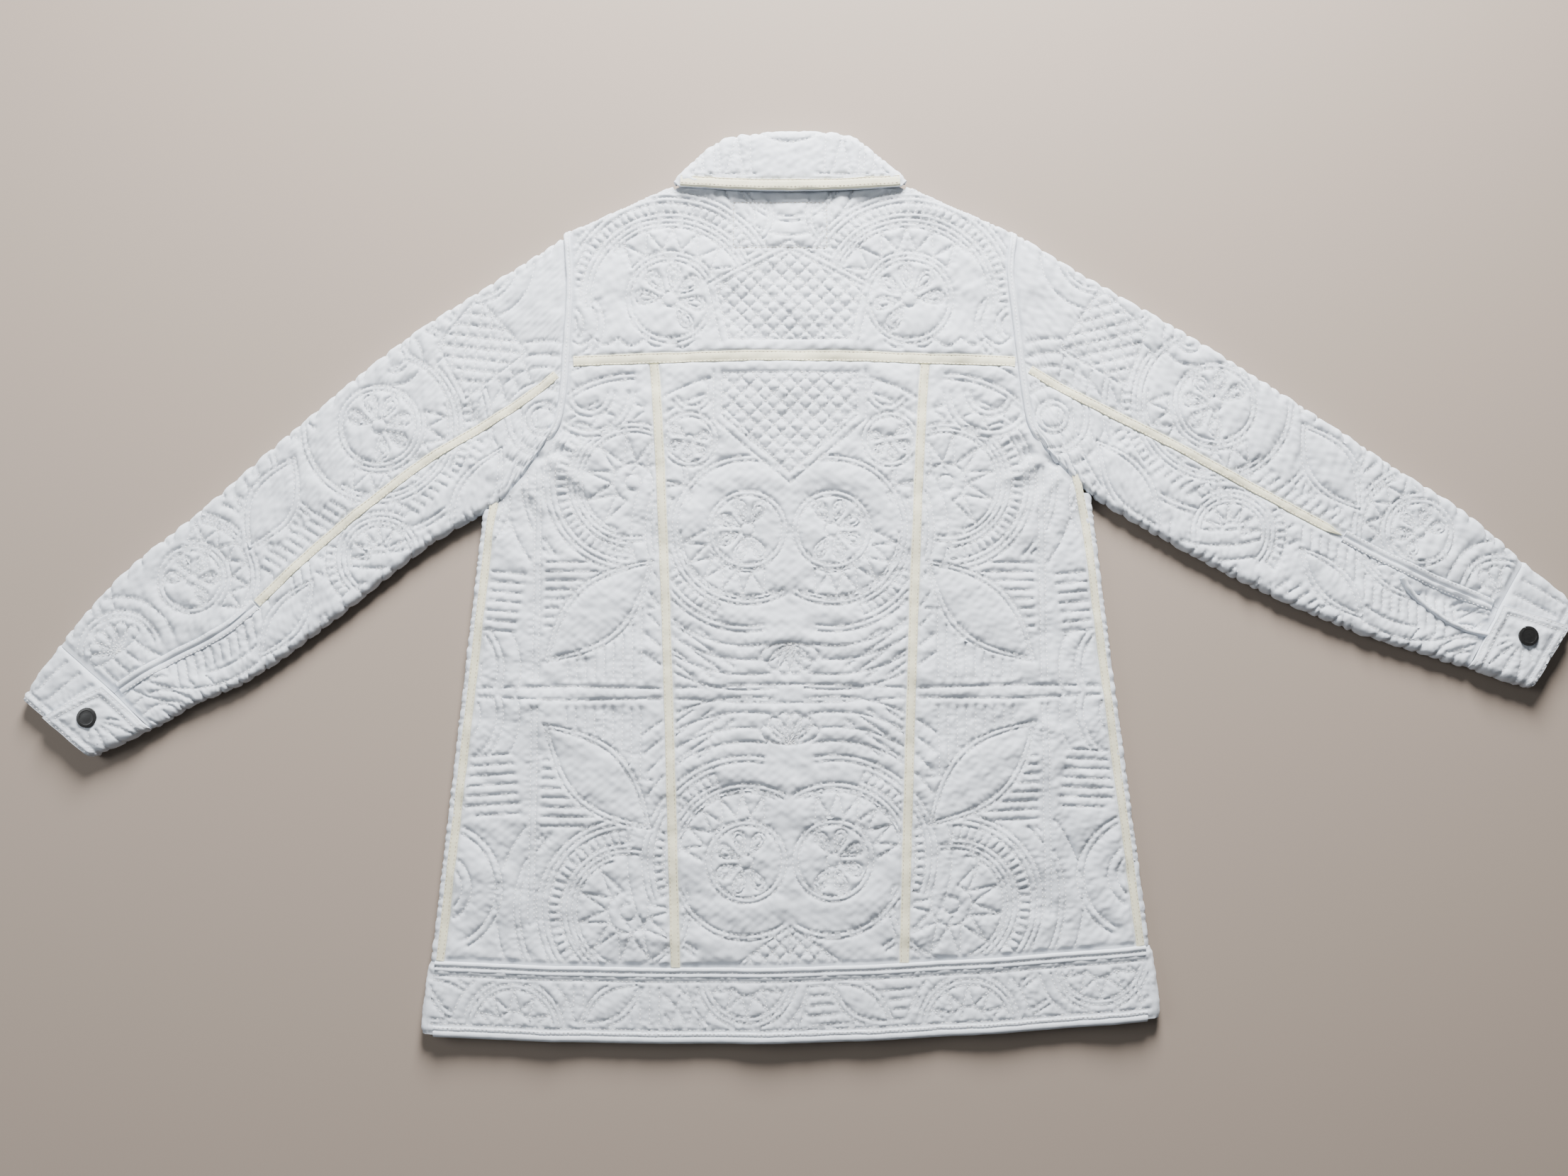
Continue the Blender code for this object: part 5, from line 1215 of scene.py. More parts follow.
# Sleeves
class Sleeve:
    """A flattened tube between two silhouette edges."""

    def __init__(self, side):
        self.side = side
        rows = spline(SLEEVE_ROWS[side], SLEEVE_STATIONS)
        self.rows = rows
        self.upper, self.lower = rows[:, 0:2], rows[:, 2:4]
        upper_steps, lower_steps = (np.hypot(*np.diff(path, axis=0).T)
                                    for path in (self.upper, self.lower))
        steps = (upper_steps + lower_steps) / 2
        self.along = np.concatenate(([0.0], np.cumsum(steps)))
        self.length = self.along[-1]

    def at(self, t):
        """Upper and lower points, width, seam share and radius at lengths from the armhole."""
        row = np.column_stack([np.interp(t, self.along, self.rows[:, k]) for k in range(6)])
        upper, lower = row[:, 0:2], row[:, 2:4]
        return upper, lower, np.hypot(*(lower - upper).T), row[:, 4], row[:, 5]

    def bow(self, t, share):
        """How far the sleeve's start follows the curved armhole, off the straight section."""
        chord = self.upper[0] + (self.lower[0] - self.upper[0]) * np.clip(share, 0, 1)[:, None]
        fade = 1 - smooth_step(t / ARMHOLE_REACH)
        return (armhole_x(self.side, chord[:, 1]) - chord[:, 0]) * fade

    def find(self, points):
        """The length along the sleeve and the share across of places in plan."""
        t, share = self.find_straight(points)
        for _ in range(3):
            moved = points.copy()
            moved[:, 0] -= self.bow(t, share)
            t, share = self.find_straight(moved)
        return t, share

    def find_straight(self, points):
        low, high = np.zeros(len(points)), np.full(len(points), self.length)
        for _ in range(22):
            t = (low + high) / 2
            upper, lower = self.at(t)[:2]
            across, away = lower - upper, points - upper
            onward = (across[:, 0] * away[:, 1] - across[:, 1] * away[:, 0]) * self.side > 0
            low, high = np.where(onward, t, low), np.where(onward, high, t)
        upper, lower, width, _, _ = self.at(t)
        return t, ((points - upper) * (lower - upper)).sum(axis=1) / width ** 2

    def drape(self, t, share):
        arch = np.sin(math.pi * np.clip(share, 0, 1))
        return -SLEEVE_SAG * arch ** 2 + 0.35 * np.sin(t / 27.0 + 3 * share) * arch

    def lift(self, points, share):
        return crumple(points) * np.sin(math.pi * np.clip(share, 0, 1)) ** 0.5

    def top_place(self, points, out):
        """The upper side, for places in plan."""
        t, share = self.find(points)
        height = 2 * self.at(t)[4] + self.drape(t, share) + self.lift(points, share) + out
        return np.column_stack((points, height))

    def place_from(self, from_upper):
        """The place of half a sleeve, its flat plan measured from a silhouette edge."""
        def place(points, out):
            q, t = points[:, 0], points[:, 1]
            upper, lower, width, _, radius = self.at(t)
            across = (lower - upper) / width[:, None]
            if not from_upper:
                upper, across = lower, -across
            angle = np.clip(q / radius, -math.pi / 2, math.pi / 2)
            run = np.maximum(0.0, np.abs(q) - math.pi * radius / 2)
            reach = radius - (radius + out) * np.cos(angle) + run
            spot = upper + across * reach[:, None]
            share = reach / width if from_upper else 1 - reach / width
            spot[:, 0] += self.bow(t, share)
            lifted = self.drape(t, share) + self.lift(spot, share)
            height = (radius + (radius + out) * np.sin(angle)
                      + np.where(q > 0, lifted * smooth_step(run / 20), 0.0))
            return np.column_stack((spot, height))
        return place

    def to_flat(self, points, from_upper):
        """Places in plan as places in the flat plan of half a sleeve."""
        t, share = self.find(points)
        _, _, width, _, radius = self.at(t)
        reach = width * (share if from_upper else 1 - share)
        return np.column_stack((reach - radius + math.pi * radius / 2, t))

    def seam_q(self, t, share_of_seam, from_upper):
        """How far a seam is from the silhouette edge in the flat plan."""
        _, _, width, seam, radius = self.at(t)
        seam = seam if share_of_seam is None else np.full(len(t), share_of_seam)
        reach = width * (seam if from_upper else 1 - seam) - HALF_GAP
        return reach - radius + math.pi * radius / 2


def sleeve_quilt(side, word, half_word, from_upper):
    sleeve = Sleeve(side)
    start, end = ARMHOLE_CLEARANCE, sleeve.length - SEAM_GAP
    ts = np.linspace(start, end, 60)
    top = np.column_stack((sleeve.seam_q(ts, None, from_upper), ts))
    under = np.column_stack((-sleeve.seam_q(ts, UNDER_SEAM, from_upper), ts))
    outline = np.vstack((top, under[::-1]))
    quarter = math.pi * SLEEVE_RADIUS / 2
    folds = [np.column_stack((np.full(len(ts), quarter * f), ts))[1:-1] for f in (-1.0, -0.5, 0.0)]

    def shown(p):
        return p[:, 0] > -quarter * 0.45

    def allowed(p):
        flat = sleeve.to_flat(p, from_upper)
        seam = sleeve.seam_q(flat[:, 1], None, from_upper)
        return ((flat[:, 0] > quarter - 1) & (flat[:, 0] < seam - ROW_MARGIN)
                & (flat[:, 1] > start + ROW_MARGIN) & (flat[:, 1] < end - ROW_MARGIN))

    plan = clipped(sleeve_lines(side), allowed)
    joined = sleeve.to_flat(np.vstack(plan), from_upper)
    rows = np.split(joined, np.cumsum([len(row) for row in plan])[:-1])
    draw = np.random.default_rng(80 + side)
    t = start + 9
    while t < end - 10:
        rows.append([(-quarter * 0.3, t), (quarter * 1.15, min(end - 6, t + draw.uniform(-7, 7)))])
        t += draw.uniform(9, 21)
    return quilt_of(f"quilt_sleeve_{half_word}_{word}", outline, sleeve.place_from(from_upper),
                    rows, seed=40 + 3 * side + from_upper, folds=folds, shown=shown)


def seam_plan(side, low, high, count):
    """The elbow seam seen in plan, between two shares of the sleeve's length."""
    sleeve = Sleeve(side)
    t = sleeve.length * np.linspace(low, high, count)
    upper, lower, _, seam, _ = sleeve.at(t)
    spots = upper + (lower - upper) * seam[:, None]
    spots[:, 0] += sleeve.bow(t, seam)
    return spots


# Cuffs
class Cuff:
    """One band round the wrist, its tab end lying on its other end."""

    def __init__(self, side):
        self.seam, self.wrist = (np.array(row) for row in CUFF_ENDS[side])
        middle = (self.seam + self.wrist) / 2
        self.depth = math.dist((self.seam[:2] + self.seam[2:4]) / 2,
                               (self.wrist[:2] + self.wrist[2:4]) / 2)
        self.low = CUFF_HALF_HEIGHT
        self.high = (2 * CUFF_HALF_HEIGHT + SEAM_GAP + CUFF_WALL) / 2
        width = math.dist(middle[:2], middle[2:4])
        self.marks = np.concatenate(([0.0], np.cumsum(self.pieces(width, middle[4]))))

    def pieces(self, width, tab):
        """Lengths round the band: underlap, fold, underside, fold, tab."""
        return np.array((width * CUFF_UNDERLAP - self.low, math.pi * self.low,
                         width - self.low - self.high, math.pi * self.high,
                         width * (1 - tab) - self.high))

    def place(self, points, out):
        """The band laid round the wrist: u runs along it, v from the sleeve to its edge."""
        u, v = points[:, 0], points[:, 1]
        row = self.seam + (self.wrist - self.seam) * (v / self.depth)[:, None]
        upper, lower, tab = row[:, :2], row[:, 2:4], row[:, 4]
        width = np.hypot(*(lower - upper).T)
        across = (lower - upper) / width[:, None]
        shares = [np.clip((u - a) / (b - a), 0, 1) for a, b in zip(self.marks, self.marks[1:])]
        low, high = self.low, self.high
        s = width * CUFF_UNDERLAP + (low - width * CUFF_UNDERLAP) * shares[0]
        z = np.full(len(u), 2 * low)
        nx, nz = np.zeros(len(u)), np.ones(len(u))
        angle = math.pi / 2 - math.pi * shares[1]
        s = s - low * np.cos(angle)
        z = np.where(u > self.marks[1], low + low * np.sin(angle), z)
        nx = np.where(u > self.marks[1], -np.cos(angle), nx)
        nz = np.where(u > self.marks[1], np.sin(angle), nz)
        s = s + (width - high - low) * shares[2]
        back = u > self.marks[3]
        angle = -math.pi / 2 + math.pi * shares[3]
        s = np.where(back, s + high * np.cos(angle), s)
        z = np.where(back, high + high * np.sin(angle), z)
        nx = np.where(back, np.cos(angle), nx)
        nz = np.where(back, np.sin(angle), nz)
        s = s - (width * (1 - tab) - high) * shares[4]
        spot = upper + across * (s + nx * out)[:, None]
        lift = 0.5 * ripples(points, 30.0, 55) * np.where(nz > 0.5, 1.0, 0.0)
        return np.column_stack((spot, z + nz * out + lift))


def cuff_quilt(side, word):
    cuff = Cuff(side)
    length, deep = cuff.marks[-1], cuff.depth
    outline = [(0, 0.2), (length, 0.2), (length, deep), (0, deep)]
    turns = [mark + math.pi * radius * f for f in FOLD_SHARES
             for mark, radius in ((cuff.marks[1], cuff.low), (cuff.marks[3], cuff.high))]
    folds = [[(u, 0.6), (u, deep - 0.4)] for u in sorted(turns)]

    def shown(p):
        return (p[:, 0] < cuff.marks[2] - 2) | (p[:, 0] > cuff.marks[3] + 3)

    rows = []
    dents = []
    for inset, kept in ((1.8, rows), (6.8, rows), (7.9, dents), (9.0, dents)):
        kept.append([(3, deep - inset), (length - inset, deep - inset), (length - inset, inset),
                     (cuff.marks[3] + 6, inset)])
    for angle in range(118, 251, 22):
        row = spoke(length - 22, deep * 0.5, math.radians(angle), 13, 46)
        rows += runs_of(row, (row[:, 1] > 11) & (row[:, 1] < deep - 11)
                        & (row[:, 0] > cuff.marks[3] + 4))
    for i in range(7):
        u = 8 + 13.5 * i
        if u < cuff.marks[1] + 8:
            rows.append([(u, 6), (u + 6, deep - 12)])
    return quilt_of(f"quilt_cuff_{word}", outline, cuff.place, rows, seed=50 + side,
                    wall=CUFF_WALL, dents=dents, folds=folds, shown=shown, flat_edge=0.0, puff=2.1)


# Collar
def collar_curve(inset):
    """The collar's outer edge in plan, moved inwards."""
    return offset_path(spline(COLLAR_OUTLINE, 41), -inset)


def collar_top(points):
    distance = nearest_on(collar_curve(0.0), points)[0]
    fall = smooth_step((distance - COLLAR_RADIUS) / 30.0)
    return 2 * COLLAR_RADIUS + 0.4 - 0.4 * fall


def collar_place(points, out):
    """The collar's fall, turned down over its outer edge."""
    path = collar_curve(COLLAR_RADIUS)
    distance, foot, _ = nearest_on(path, points)
    away = points - foot
    outside = ~inside(points, path) & (away[:, 1] > -0.01) & (distance > 0.01)
    outward = away / np.maximum(1e-6, distance)[:, None]
    angle = distance / COLLAR_RADIUS
    spot = foot + outward * ((COLLAR_RADIUS + out) * np.sin(angle))[:, None]
    height = (COLLAR_RADIUS + 0.4 * (1 - smooth_step(angle))
              + (COLLAR_RADIUS + out) * np.cos(angle))
    level = np.column_stack((points, collar_top(points) + out + 0.25 * ripples(points, 24.0, 61)))
    return np.where(outside[:, None], np.column_stack((spot, height)), level)


def collar_quilt():
    base = collar_curve(COLLAR_RADIUS)
    depth = COLLAR_RADIUS * COLLAR_WRAP
    rim = offset_path(base, depth)
    levels = [offset_path(base, depth * f) for f in (0.0, 0.35, 0.7)]
    xs = np.linspace(base[-1][0] - 1, base[0][0] + 1, 30)
    edge = [(x, collar_edge_y(x)) for x in xs]
    outline = np.vstack((rim, [level[-1] for level in reversed(levels)], edge,
                         [level[0] for level in levels]))
    folds = [level[1:-1] for level in levels]

    def allowed(p):
        return (inside(p, outline) & (p[:, 1] > collar_edge_y(p[:, 0]) + COLLAR_BINDING + 3)
                & (nearest_on(rim, p)[0] > 5))

    motifs = [
        bars([[(-84, 306), (-30, 307)], [(24, 307), (82, 306)]], 2.0),
        bars([[(x, 306), (x * 1.08, 372)] for x in (-66, -61.5, -34, 31, 61, 65.5)], 1.0),
        bars([[(x, 308), (x + lean, 372)] for x, lean in (
            (-56, 16), (-41, -12), (38, 17), (54, -14), (74, 8), (-76, -6))], 1.0),
        arcs(0, 380, (44,), 190, 350),
        arcs(90, 316, (9, 14), 0, 359),
        arcs(-92, 315, (9, 14), 0, 359),
    ]
    binding_dent = [(x, collar_edge_y(x) + COLLAR_BINDING + 0.6) for x in xs[2:-2]]
    return quilt_of("quilt_collar_fall", outline, collar_place,
                    clipped(uncovered(motifs), allowed), seed=60, wall=COLLAR_WALL,
                    dents=[binding_dent], folds=folds, flat_edge=3.0, puff=2.2)


# Hem band
HEM_TOP = HEM_SEAM_Y - HALF_GAP
WELT_ROW_DROP = 10.5            # from the seam to the row of stitches under the welt
BINDING_ROW_RISE = 9.0          # from the hem to the one over the binding
HEM_ROW_REACH = 302.0


def hem_quilt():
    high, low = HEM_TOP, HEM_Y
    turn = math.pi * HEM_RADIUS

    def reach(side, v):
        return 2 * (float(hem_side_x(side, v)) - HEM_RADIUS) + turn + FRONT_OVERLAP

    outline = [(-reach(-1, low), low), (reach(1, low), low),
               (reach(1, high), high), (-reach(-1, high), high)]
    folds = [[(side * (float(hem_side_x(side, v)) - HEM_RADIUS + turn * f), v)
              for v in (low + 0.5, high - 0.5)]
             for side, _ in SIDES for f in FOLD_SHARES]
    welt_low, binding_high = high - WELT_ROW_DROP, low + BINDING_ROW_RISE
    edge_rows = [[(-HEM_ROW_REACH, level), (HEM_ROW_REACH, level)]
                 for level in (welt_low, binding_high)]

    def shown(p):
        side = side_of(p[:, 0])
        return np.abs(p[:, 0]) < hem_side_x(side, p[:, 1]) - HEM_RADIUS + turn * 0.7

    def allowed(p):
        return ((np.abs(p[:, 0]) < HEM_ROW_REACH) & (p[:, 1] > binding_high + 3)
                & (p[:, 1] < welt_low - 3))

    return quilt_of("quilt_hem_band", outline, hem_place,
                    edge_rows + clipped(hem_lines(), allowed), seed=70, wall=THIN_WALL,
                    folds=folds, shown=shown, flat_edge=2.0, puff=2.0)


# Materials
CLOTH_PITCH = 0.00055           # from thread to thread of the weave, in metres
TAPE_PITCH = 0.0007
LOOKS = ("Quilted cotton", "Plain cotton", "Bias tape", "White thread", "Tape thread",
         "Black snap")


def new_material(name):
    """A material, its node tree and its shader."""
    look = bpy.data.materials.new(name)
    look.use_nodes = True
    return look, look.node_tree, look.node_tree.nodes["Principled BSDF"]


def add_node(tree, kind, inputs=(), **settings):
    """A node with its inputs linked or set, and its settings."""
    made = tree.nodes.new(kind)
    for key, value in settings.items():
        setattr(made, key, value)
    for key, value in dict(inputs).items():
        if isinstance(value, bpy.types.NodeSocket):
            tree.links.new(value, made.inputs[key])
        else:
            made.inputs[key].default_value = value
    return made


def math_node(tree, operation, a, b):
    return add_node(tree, "ShaderNodeMath", {0: a, 1: b}, operation=operation).outputs[0]


def mix_colour(tree, share, a, b, blend="MIX"):
    made = add_node(tree, "ShaderNodeMix", {0: share, 6: a, 7: b}, data_type="RGBA",
                    blend_type=blend)
    return made.outputs[2]


def noise_node(tree, place, scale, detail=2.0, roughness=0.5):
    return add_node(tree, "ShaderNodeTexNoise", {"Vector": place, "Scale": scale,
                                                 "Detail": detail, "Roughness": roughness})


def noise(tree, place, scale, detail=2.0, roughness=0.5):
    return noise_node(tree, place, scale, detail, roughness).outputs["Fac"]


def ranged(tree, value, low, high, start=0.0, end=1.0):
    """A value from start to end as one from low to high."""
    return add_node(tree, "ShaderNodeMapRange", {
        "Value": value, "From Min": start, "From Max": end, "To Min": low, "To Max": high,
    }).outputs[0]


def grey(tree, shade):
    return add_node(tree, "ShaderNodeCombineColor", {0: shade, 1: shade, 2: shade}).outputs[0]


def shaded(tree, colour, shade):
    """A colour made darker or lighter by a value."""
    return mix_colour(tree, 1.0, colour, grey(tree, shade), "MULTIPLY")


def raise_surface(tree, shader, height, strength, distance):
    bump = add_node(tree, "ShaderNodeBump", {"Height": height, "Strength": strength,
                                             "Distance": distance})
    tree.links.new(bump.outputs[0], shader.inputs["Normal"])


def object_place(tree):
    return add_node(tree, "ShaderNodeTexCoord").outputs["Object"]


def weave_group():
    """Plain weave of cotton: its height, its slubs, a soft tint and a mask of painted shade along
    the stitched rows.
    """
    tree = bpy.data.node_groups.new("Plain weave", "ShaderNodeTree")
    for name in ("Thread pitch", "Slub"):
        tree.interface.new_socket(name, in_out="INPUT", socket_type="NodeSocketFloat")
    for name in ("Height", "Slubs", "Tint", "Wear"):
        tree.interface.new_socket(name, in_out="OUTPUT", socket_type="NodeSocketFloat")
    given = tree.nodes.new("NodeGroupInput")
    place = add_node(tree, "ShaderNodeUVMap", uv_map="Cut").outputs[0]
    warp = noise_node(tree, place, 260.0).outputs["Color"]
    shift = add_node(tree, "ShaderNodeVectorMath", {0: warp, 1: (0.5, 0.5, 0.5)},
                     operation="SUBTRACT").outputs[0]
    shift = add_node(tree, "ShaderNodeVectorMath", {0: shift, 3: 0.0005},
                     operation="SCALE").outputs[0]
    place = add_node(tree, "ShaderNodeVectorMath", {0: place, 1: shift},
                     operation="ADD").outputs[0]
    # A wave node's bands lie 0.314 over its scale apart, a twentieth of a turn.
    scale = math_node(tree, "DIVIDE", 0.314, given.outputs["Thread pitch"])
    waves = [add_node(tree, "ShaderNodeTexWave", {"Vector": place, "Scale": scale},
                      bands_direction=direction, wave_profile="SIN").outputs["Fac"]
             for direction in ("X", "Y")]
    height = math_node(tree, "MAXIMUM", *waves)
    slubs = noise(tree, place, 900.0, 3.0, 0.7)
    slub_height = math_node(tree, "MULTIPLY", slubs, given.outputs["Slub"])
    values = {
        "Height": math_node(tree, "ADD", height, slub_height),
        "Slubs": slubs,
        "Tint": noise(tree, place, 14.0, 4.0),
        # painted shade: the stitched rows' mask, to darken the colour in the grooves
        "Wear": add_node(tree, "ShaderNodeAttribute", attribute_name="stitched").outputs["Fac"],
    }
    out = tree.nodes.new("NodeGroupOutput")
    for name, value in values.items():
        tree.links.new(value, out.inputs[name])
    return tree


def cloth_look(name, weave, light, dark, pitch, roughness, bump, sheen):
    """Woven cotton with its own tint, and painted shade that makes it a little darker along its
    stitched rows.
    """
    look, tree, shader = new_material(name)
    group = add_node(tree, "ShaderNodeGroup", node_tree=weave)
    group.inputs["Thread pitch"].default_value = pitch
    group.inputs["Slub"].default_value = 1.4
    tint = ranged(tree, group.outputs["Tint"], 0.0, 1.0, 0.3, 0.7)
    slub = ranged(tree, group.outputs["Slubs"], 0.955, 1.02, 0.3, 0.7)
    # painted shade: the colour is made darker along the stitched rows, in the grooves
    stitched = math_node(tree, "MULTIPLY", group.outputs["Wear"], 0.13)
    shade = math_node(tree, "SUBTRACT", slub, stitched)
    colour = shaded(tree, mix_colour(tree, tint, (*light, 1), (*dark, 1)), shade)
    tree.links.new(colour, shader.inputs["Base Color"])
    rough = ranged(tree, group.outputs["Slubs"], roughness - 0.06, roughness + 0.06)
    tree.links.new(rough, shader.inputs["Roughness"])
    raise_surface(tree, shader, group.outputs["Height"], bump, 0.00012)
    shader.inputs["Specular IOR Level"].default_value = 0.22
    shader.inputs["Sheen Weight"].default_value = sheen
    shader.inputs["Sheen Roughness"].default_value = 0.5
    return look


def thread_look(name, colour):
    """Twisted cotton thread."""
    look, tree, shader = new_material(name)
    place = object_place(tree)
    twist = add_node(tree, "ShaderNodeTexWave", {
        "Vector": place, "Scale": 900.0, "Distortion": 1.5,
    }, bands_direction="DIAGONAL").outputs["Fac"]
    shade = ranged(tree, noise(tree, place, 240.0), 0.88, 1.06)
    tree.links.new(shaded(tree, (*colour, 1), shade), shader.inputs["Base Color"])
    raise_surface(tree, shader, twist, 0.4, 0.0001)
    shader.inputs["Roughness"].default_value = 0.62
    shader.inputs["Specular IOR Level"].default_value = 0.3
    return look


def snap_look(name):
    """Black lacquer with fine scuffs."""
    look, tree, shader = new_material(name)
    scuff = noise(tree, object_place(tree), 700.0, 6.0)
    tree.links.new(grey(tree, ranged(tree, scuff, 0.004, 0.016)), shader.inputs["Base Color"])
    tree.links.new(ranged(tree, scuff, 0.32, 0.5), shader.inputs["Roughness"])
    shader.inputs["Coat Weight"].default_value = 0.1
    shader.inputs["Coat Roughness"].default_value = 0.15
    return look


def floor_look(name, colour):
    """A plain floor with a faint grain."""
    look, tree, shader = new_material(name)
    place = object_place(tree)
    shade = math_node(tree, "MULTIPLY", ranged(tree, noise(tree, place, 1.3), 0.98, 1.02),
                      ranged(tree, noise(tree, place, 900.0), 0.985, 1.015))
    tree.links.new(shaded(tree, (*colour, 1), shade), shader.inputs["Base Color"])
    shader.inputs["Roughness"].default_value = 0.8
    return look


def looks():
    """The materials by name, made once from the settings."""
    if LOOKS[0] not in bpy.data.materials:
        chosen = bpy.context.scene.jacket
        weave = weave_group()
        cloth, tape = tuple(chosen.cloth_colour), tuple(chosen.tape_colour)
        darker = tuple(c * 0.965 for c in cloth)
        worn_tape = tuple(c * 0.95 for c in tape)
        cloth_look("Quilted cotton", weave, cloth, darker, CLOTH_PITCH, 0.86, 0.35, 0.15)
        cloth_look("Plain cotton", weave, darker, cloth, CLOTH_PITCH, 0.88, 0.35, 0.12)
        cloth_look("Bias tape", weave, tape, worn_tape, TAPE_PITCH, 0.82, 0.5, 0.1)
        thread_look("White thread", tuple(chosen.thread_colour))
        thread_look("Tape thread", tuple(chosen.edge_thread_colour))
        snap_look("Black snap")
    return {name: bpy.data.materials[name] for name in LOOKS}


# Groups of pieces
PLACKET_WIDTH = 11.2
PLACKET_END = 0.985
SLIT_SECTION = [(-2.4, 0.2), (-2.2, 2.4), (-0.9, 4.1), (0.6, 4.0), (1.9, 2.6), (2.4, 0.2)]
HEM_WELT_SECTION = [
    (-4.3, 0.2), (-4.1, 1.1), (-3.0, 1.8), (-1.7, 1.7), (-0.5, 0.75), (0.1, 0.7), (1.2, 1.9),
    (2.6, 2.1), (3.9, 1.4), (4.2, 0.2)]
HEM_BINDING_SECTION = [
    (7.2, 0.2), (6.9, 1.1), (6.0, 1.5), (4.6, 1.4), (3.7, 0.7), (3.0, 1.5), (1.0, 1.7),
    (-1.0, 1.1), (-2.1, -0.6), (-2.3, -3.2), (-1.9, -7.4)]
HEM_BINDING_UNDER = [(-0.4, -7.4), (-0.4, -2.5), (-0.4, 0.05), (7.0, 0.05)]
ARMHOLE_SECTION = [
    (-3.0, 0.0), (-3.1, 1.2), (-2.2, 2.4), (-0.9, 2.7), (-0.1, 1.8), (0.4, 1.8), (1.1, 2.5),
    (2.2, 2.2), (3.0, 1.1), (3.0, 0.0)]
SNAP_RADIUS = 8.5
SNAP_HEIGHT = 1.5
SNAP_FROM_TAB = 21.0            # from the tab's end to the snap's middle
SNAP_INSETS = ((0.7, 0.0), (1.6, 0.45), (0.3, -0.25), (2.6, 0.25))
SNAP_EDGE = 0.35
YOKE_TAPE_WIDTH = 9.5
BACK_TAPE_WIDTH = 8.0           # of the elbow tapes too
SIDE_TAPE_WIDTH = 7.0
ELBOW_TAPE_START = 0.022
ELBOW_TAPE_POINT = {-1: 0.0, 1: 15.0}
SIDE_TAPE_START = {-1: 6.0, 1: 16.0}    # over the top of the fold, under the sleeve


def dress(quilts, thread_name, lies_on):
    """Builds cut pieces and the thread of their quilting."""
    look = looks()
    chosen = bpy.context.scene.jacket
    runs = []
    for quilt in quilts:
        quilt = quilt._replace(puff=quilt.puff * chosen.puff_share)
        piece = build_quilt(quilt, look["Quilted cotton"])
        node_name = quilt.name.replace("quilt_", "")
        declare(piece, quilt, [node_name], lies_on.get(node_name, []))
        runs += runs_on(quilt.place, [resample(row, ROW_STEP) for row in quilt.rows])
    sew(thread_name, runs, look["White thread"], chosen.stitch_length, chosen.stitch_gap)


def build_back():
    fronts = ["front_left", "front_right"]
    dress([yoke_quilt(), centre_quilt(), side_quilt(-1, "left"), side_quilt(1, "right")],
          "thread_back",
          {"back_yoke": fronts, "back_centre": fronts,
           "back_side_left": ["front_left"], "back_side_right": ["front_right"]})


def build_fronts():
    dress([front_quilt(side, word) for side, word in SIDES], "thread_fronts",
          {"front_left": ["front_right"]})


def build_sleeves():
    halves = (("upper", True), ("under", False))
    dress([sleeve_quilt(side, word, half_word, from_upper)
           for side, word in SIDES for half_word, from_upper in halves], "thread_sleeves",
          {f"sleeve_under_{word}": [f"sleeve_upper_{word}"] for _, word in SIDES})


def build_cuffs():
    look = looks()
    dress([cuff_quilt(side, word) for side, word in SIDES], "thread_cuffs", {})
    runs = []
    half = PLACKET_WIDTH / 2
    profile = [(-half, 0.4), (-half * 0.92, 1.2), (-half * 0.6, 1.9), (-half * 0.2, 1.8),
               (-0.5, 0.5), (0.2, 0.35), (half * 0.2, 1.2), (half * 0.6, 1.6),
               (half * 0.92, 1.1), (half, 0.4)]
    for side, word in SIDES:
        sleeve = Sleeve(side)
        path = resample(seam_plan(side, PLACKET_START + 0.004, PLACKET_END, 40), TAPE_STEP)

        def place(points, out, sleeve=sleeve):
            return sleeve.top_place(points, out + 0.5)

        made = band(f"placket_{word}", path, place, profile, look["Plain cotton"])
        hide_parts(f"sleeve_placket_{word}")
        runs += [run_on(place, offset_path(path, -half * 0.85), 1.35),
                 run_on(place, offset_path(path, half * 0.85), 1.25)]
    sleeve = Sleeve(1)
    path = resample(spline(SLIT_EDGE, 40), TAPE_STEP)
    band("slit_edge_right", path, sleeve.top_place, SLIT_SECTION, look["Plain cotton"])
    runs.append(run_on(sleeve.top_place, offset_path(path, 0.9), 3.7))
    sew("thread_plackets", runs, look["White thread"])


def build_snaps():
    """Domed snap caps on the tabs, shaped from cylinders."""
    look = looks()
    for side, word in SIDES:
        cuff = Cuff(side)
        spot = cuff.place(np.array([(cuff.marks[-1] - SNAP_FROM_TAB, cuff.depth * 0.52)]),
                          np.array([SNAP_HEIGHT]))[0]
        middle = (spot[0] * MM, spot[1] * MM, (spot[2] + SNAP_HEIGHT / 2) * MM)
        bpy.ops.object.select_all(action="DESELECT")
        bpy.ops.mesh.primitive_cylinder_add(vertices=48, radius=SNAP_RADIUS * MM,
                                            depth=SNAP_HEIGHT * MM, location=middle)
        cap = bpy.context.object
        bpy.ops.object.transform_apply(location=True, rotation=True, scale=True)
        cap.name = f"snap_{word}"
        mesh = bmesh.new()
        mesh.from_mesh(cap.data)
        top = max(mesh.faces, key=lambda face: face.calc_center_median().z)
        for thickness, depth in SNAP_INSETS:
            bmesh.ops.inset_region(mesh, faces=[top], thickness=thickness * MM, depth=depth * MM)
        mesh.to_mesh(cap.data)
        mesh.free()
        bevel = cap.modifiers.new("Edge", "BEVEL")
        bevel.width = SNAP_EDGE * MM
        bevel.segments = 2
        bpy.ops.object.modifier_apply(modifier=bevel.name)
        cap.data.shade_smooth()
        cap.data.materials.append(look["Black snap"])
        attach(cap, "root")
        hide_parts(f"cuff_snap_{word}")


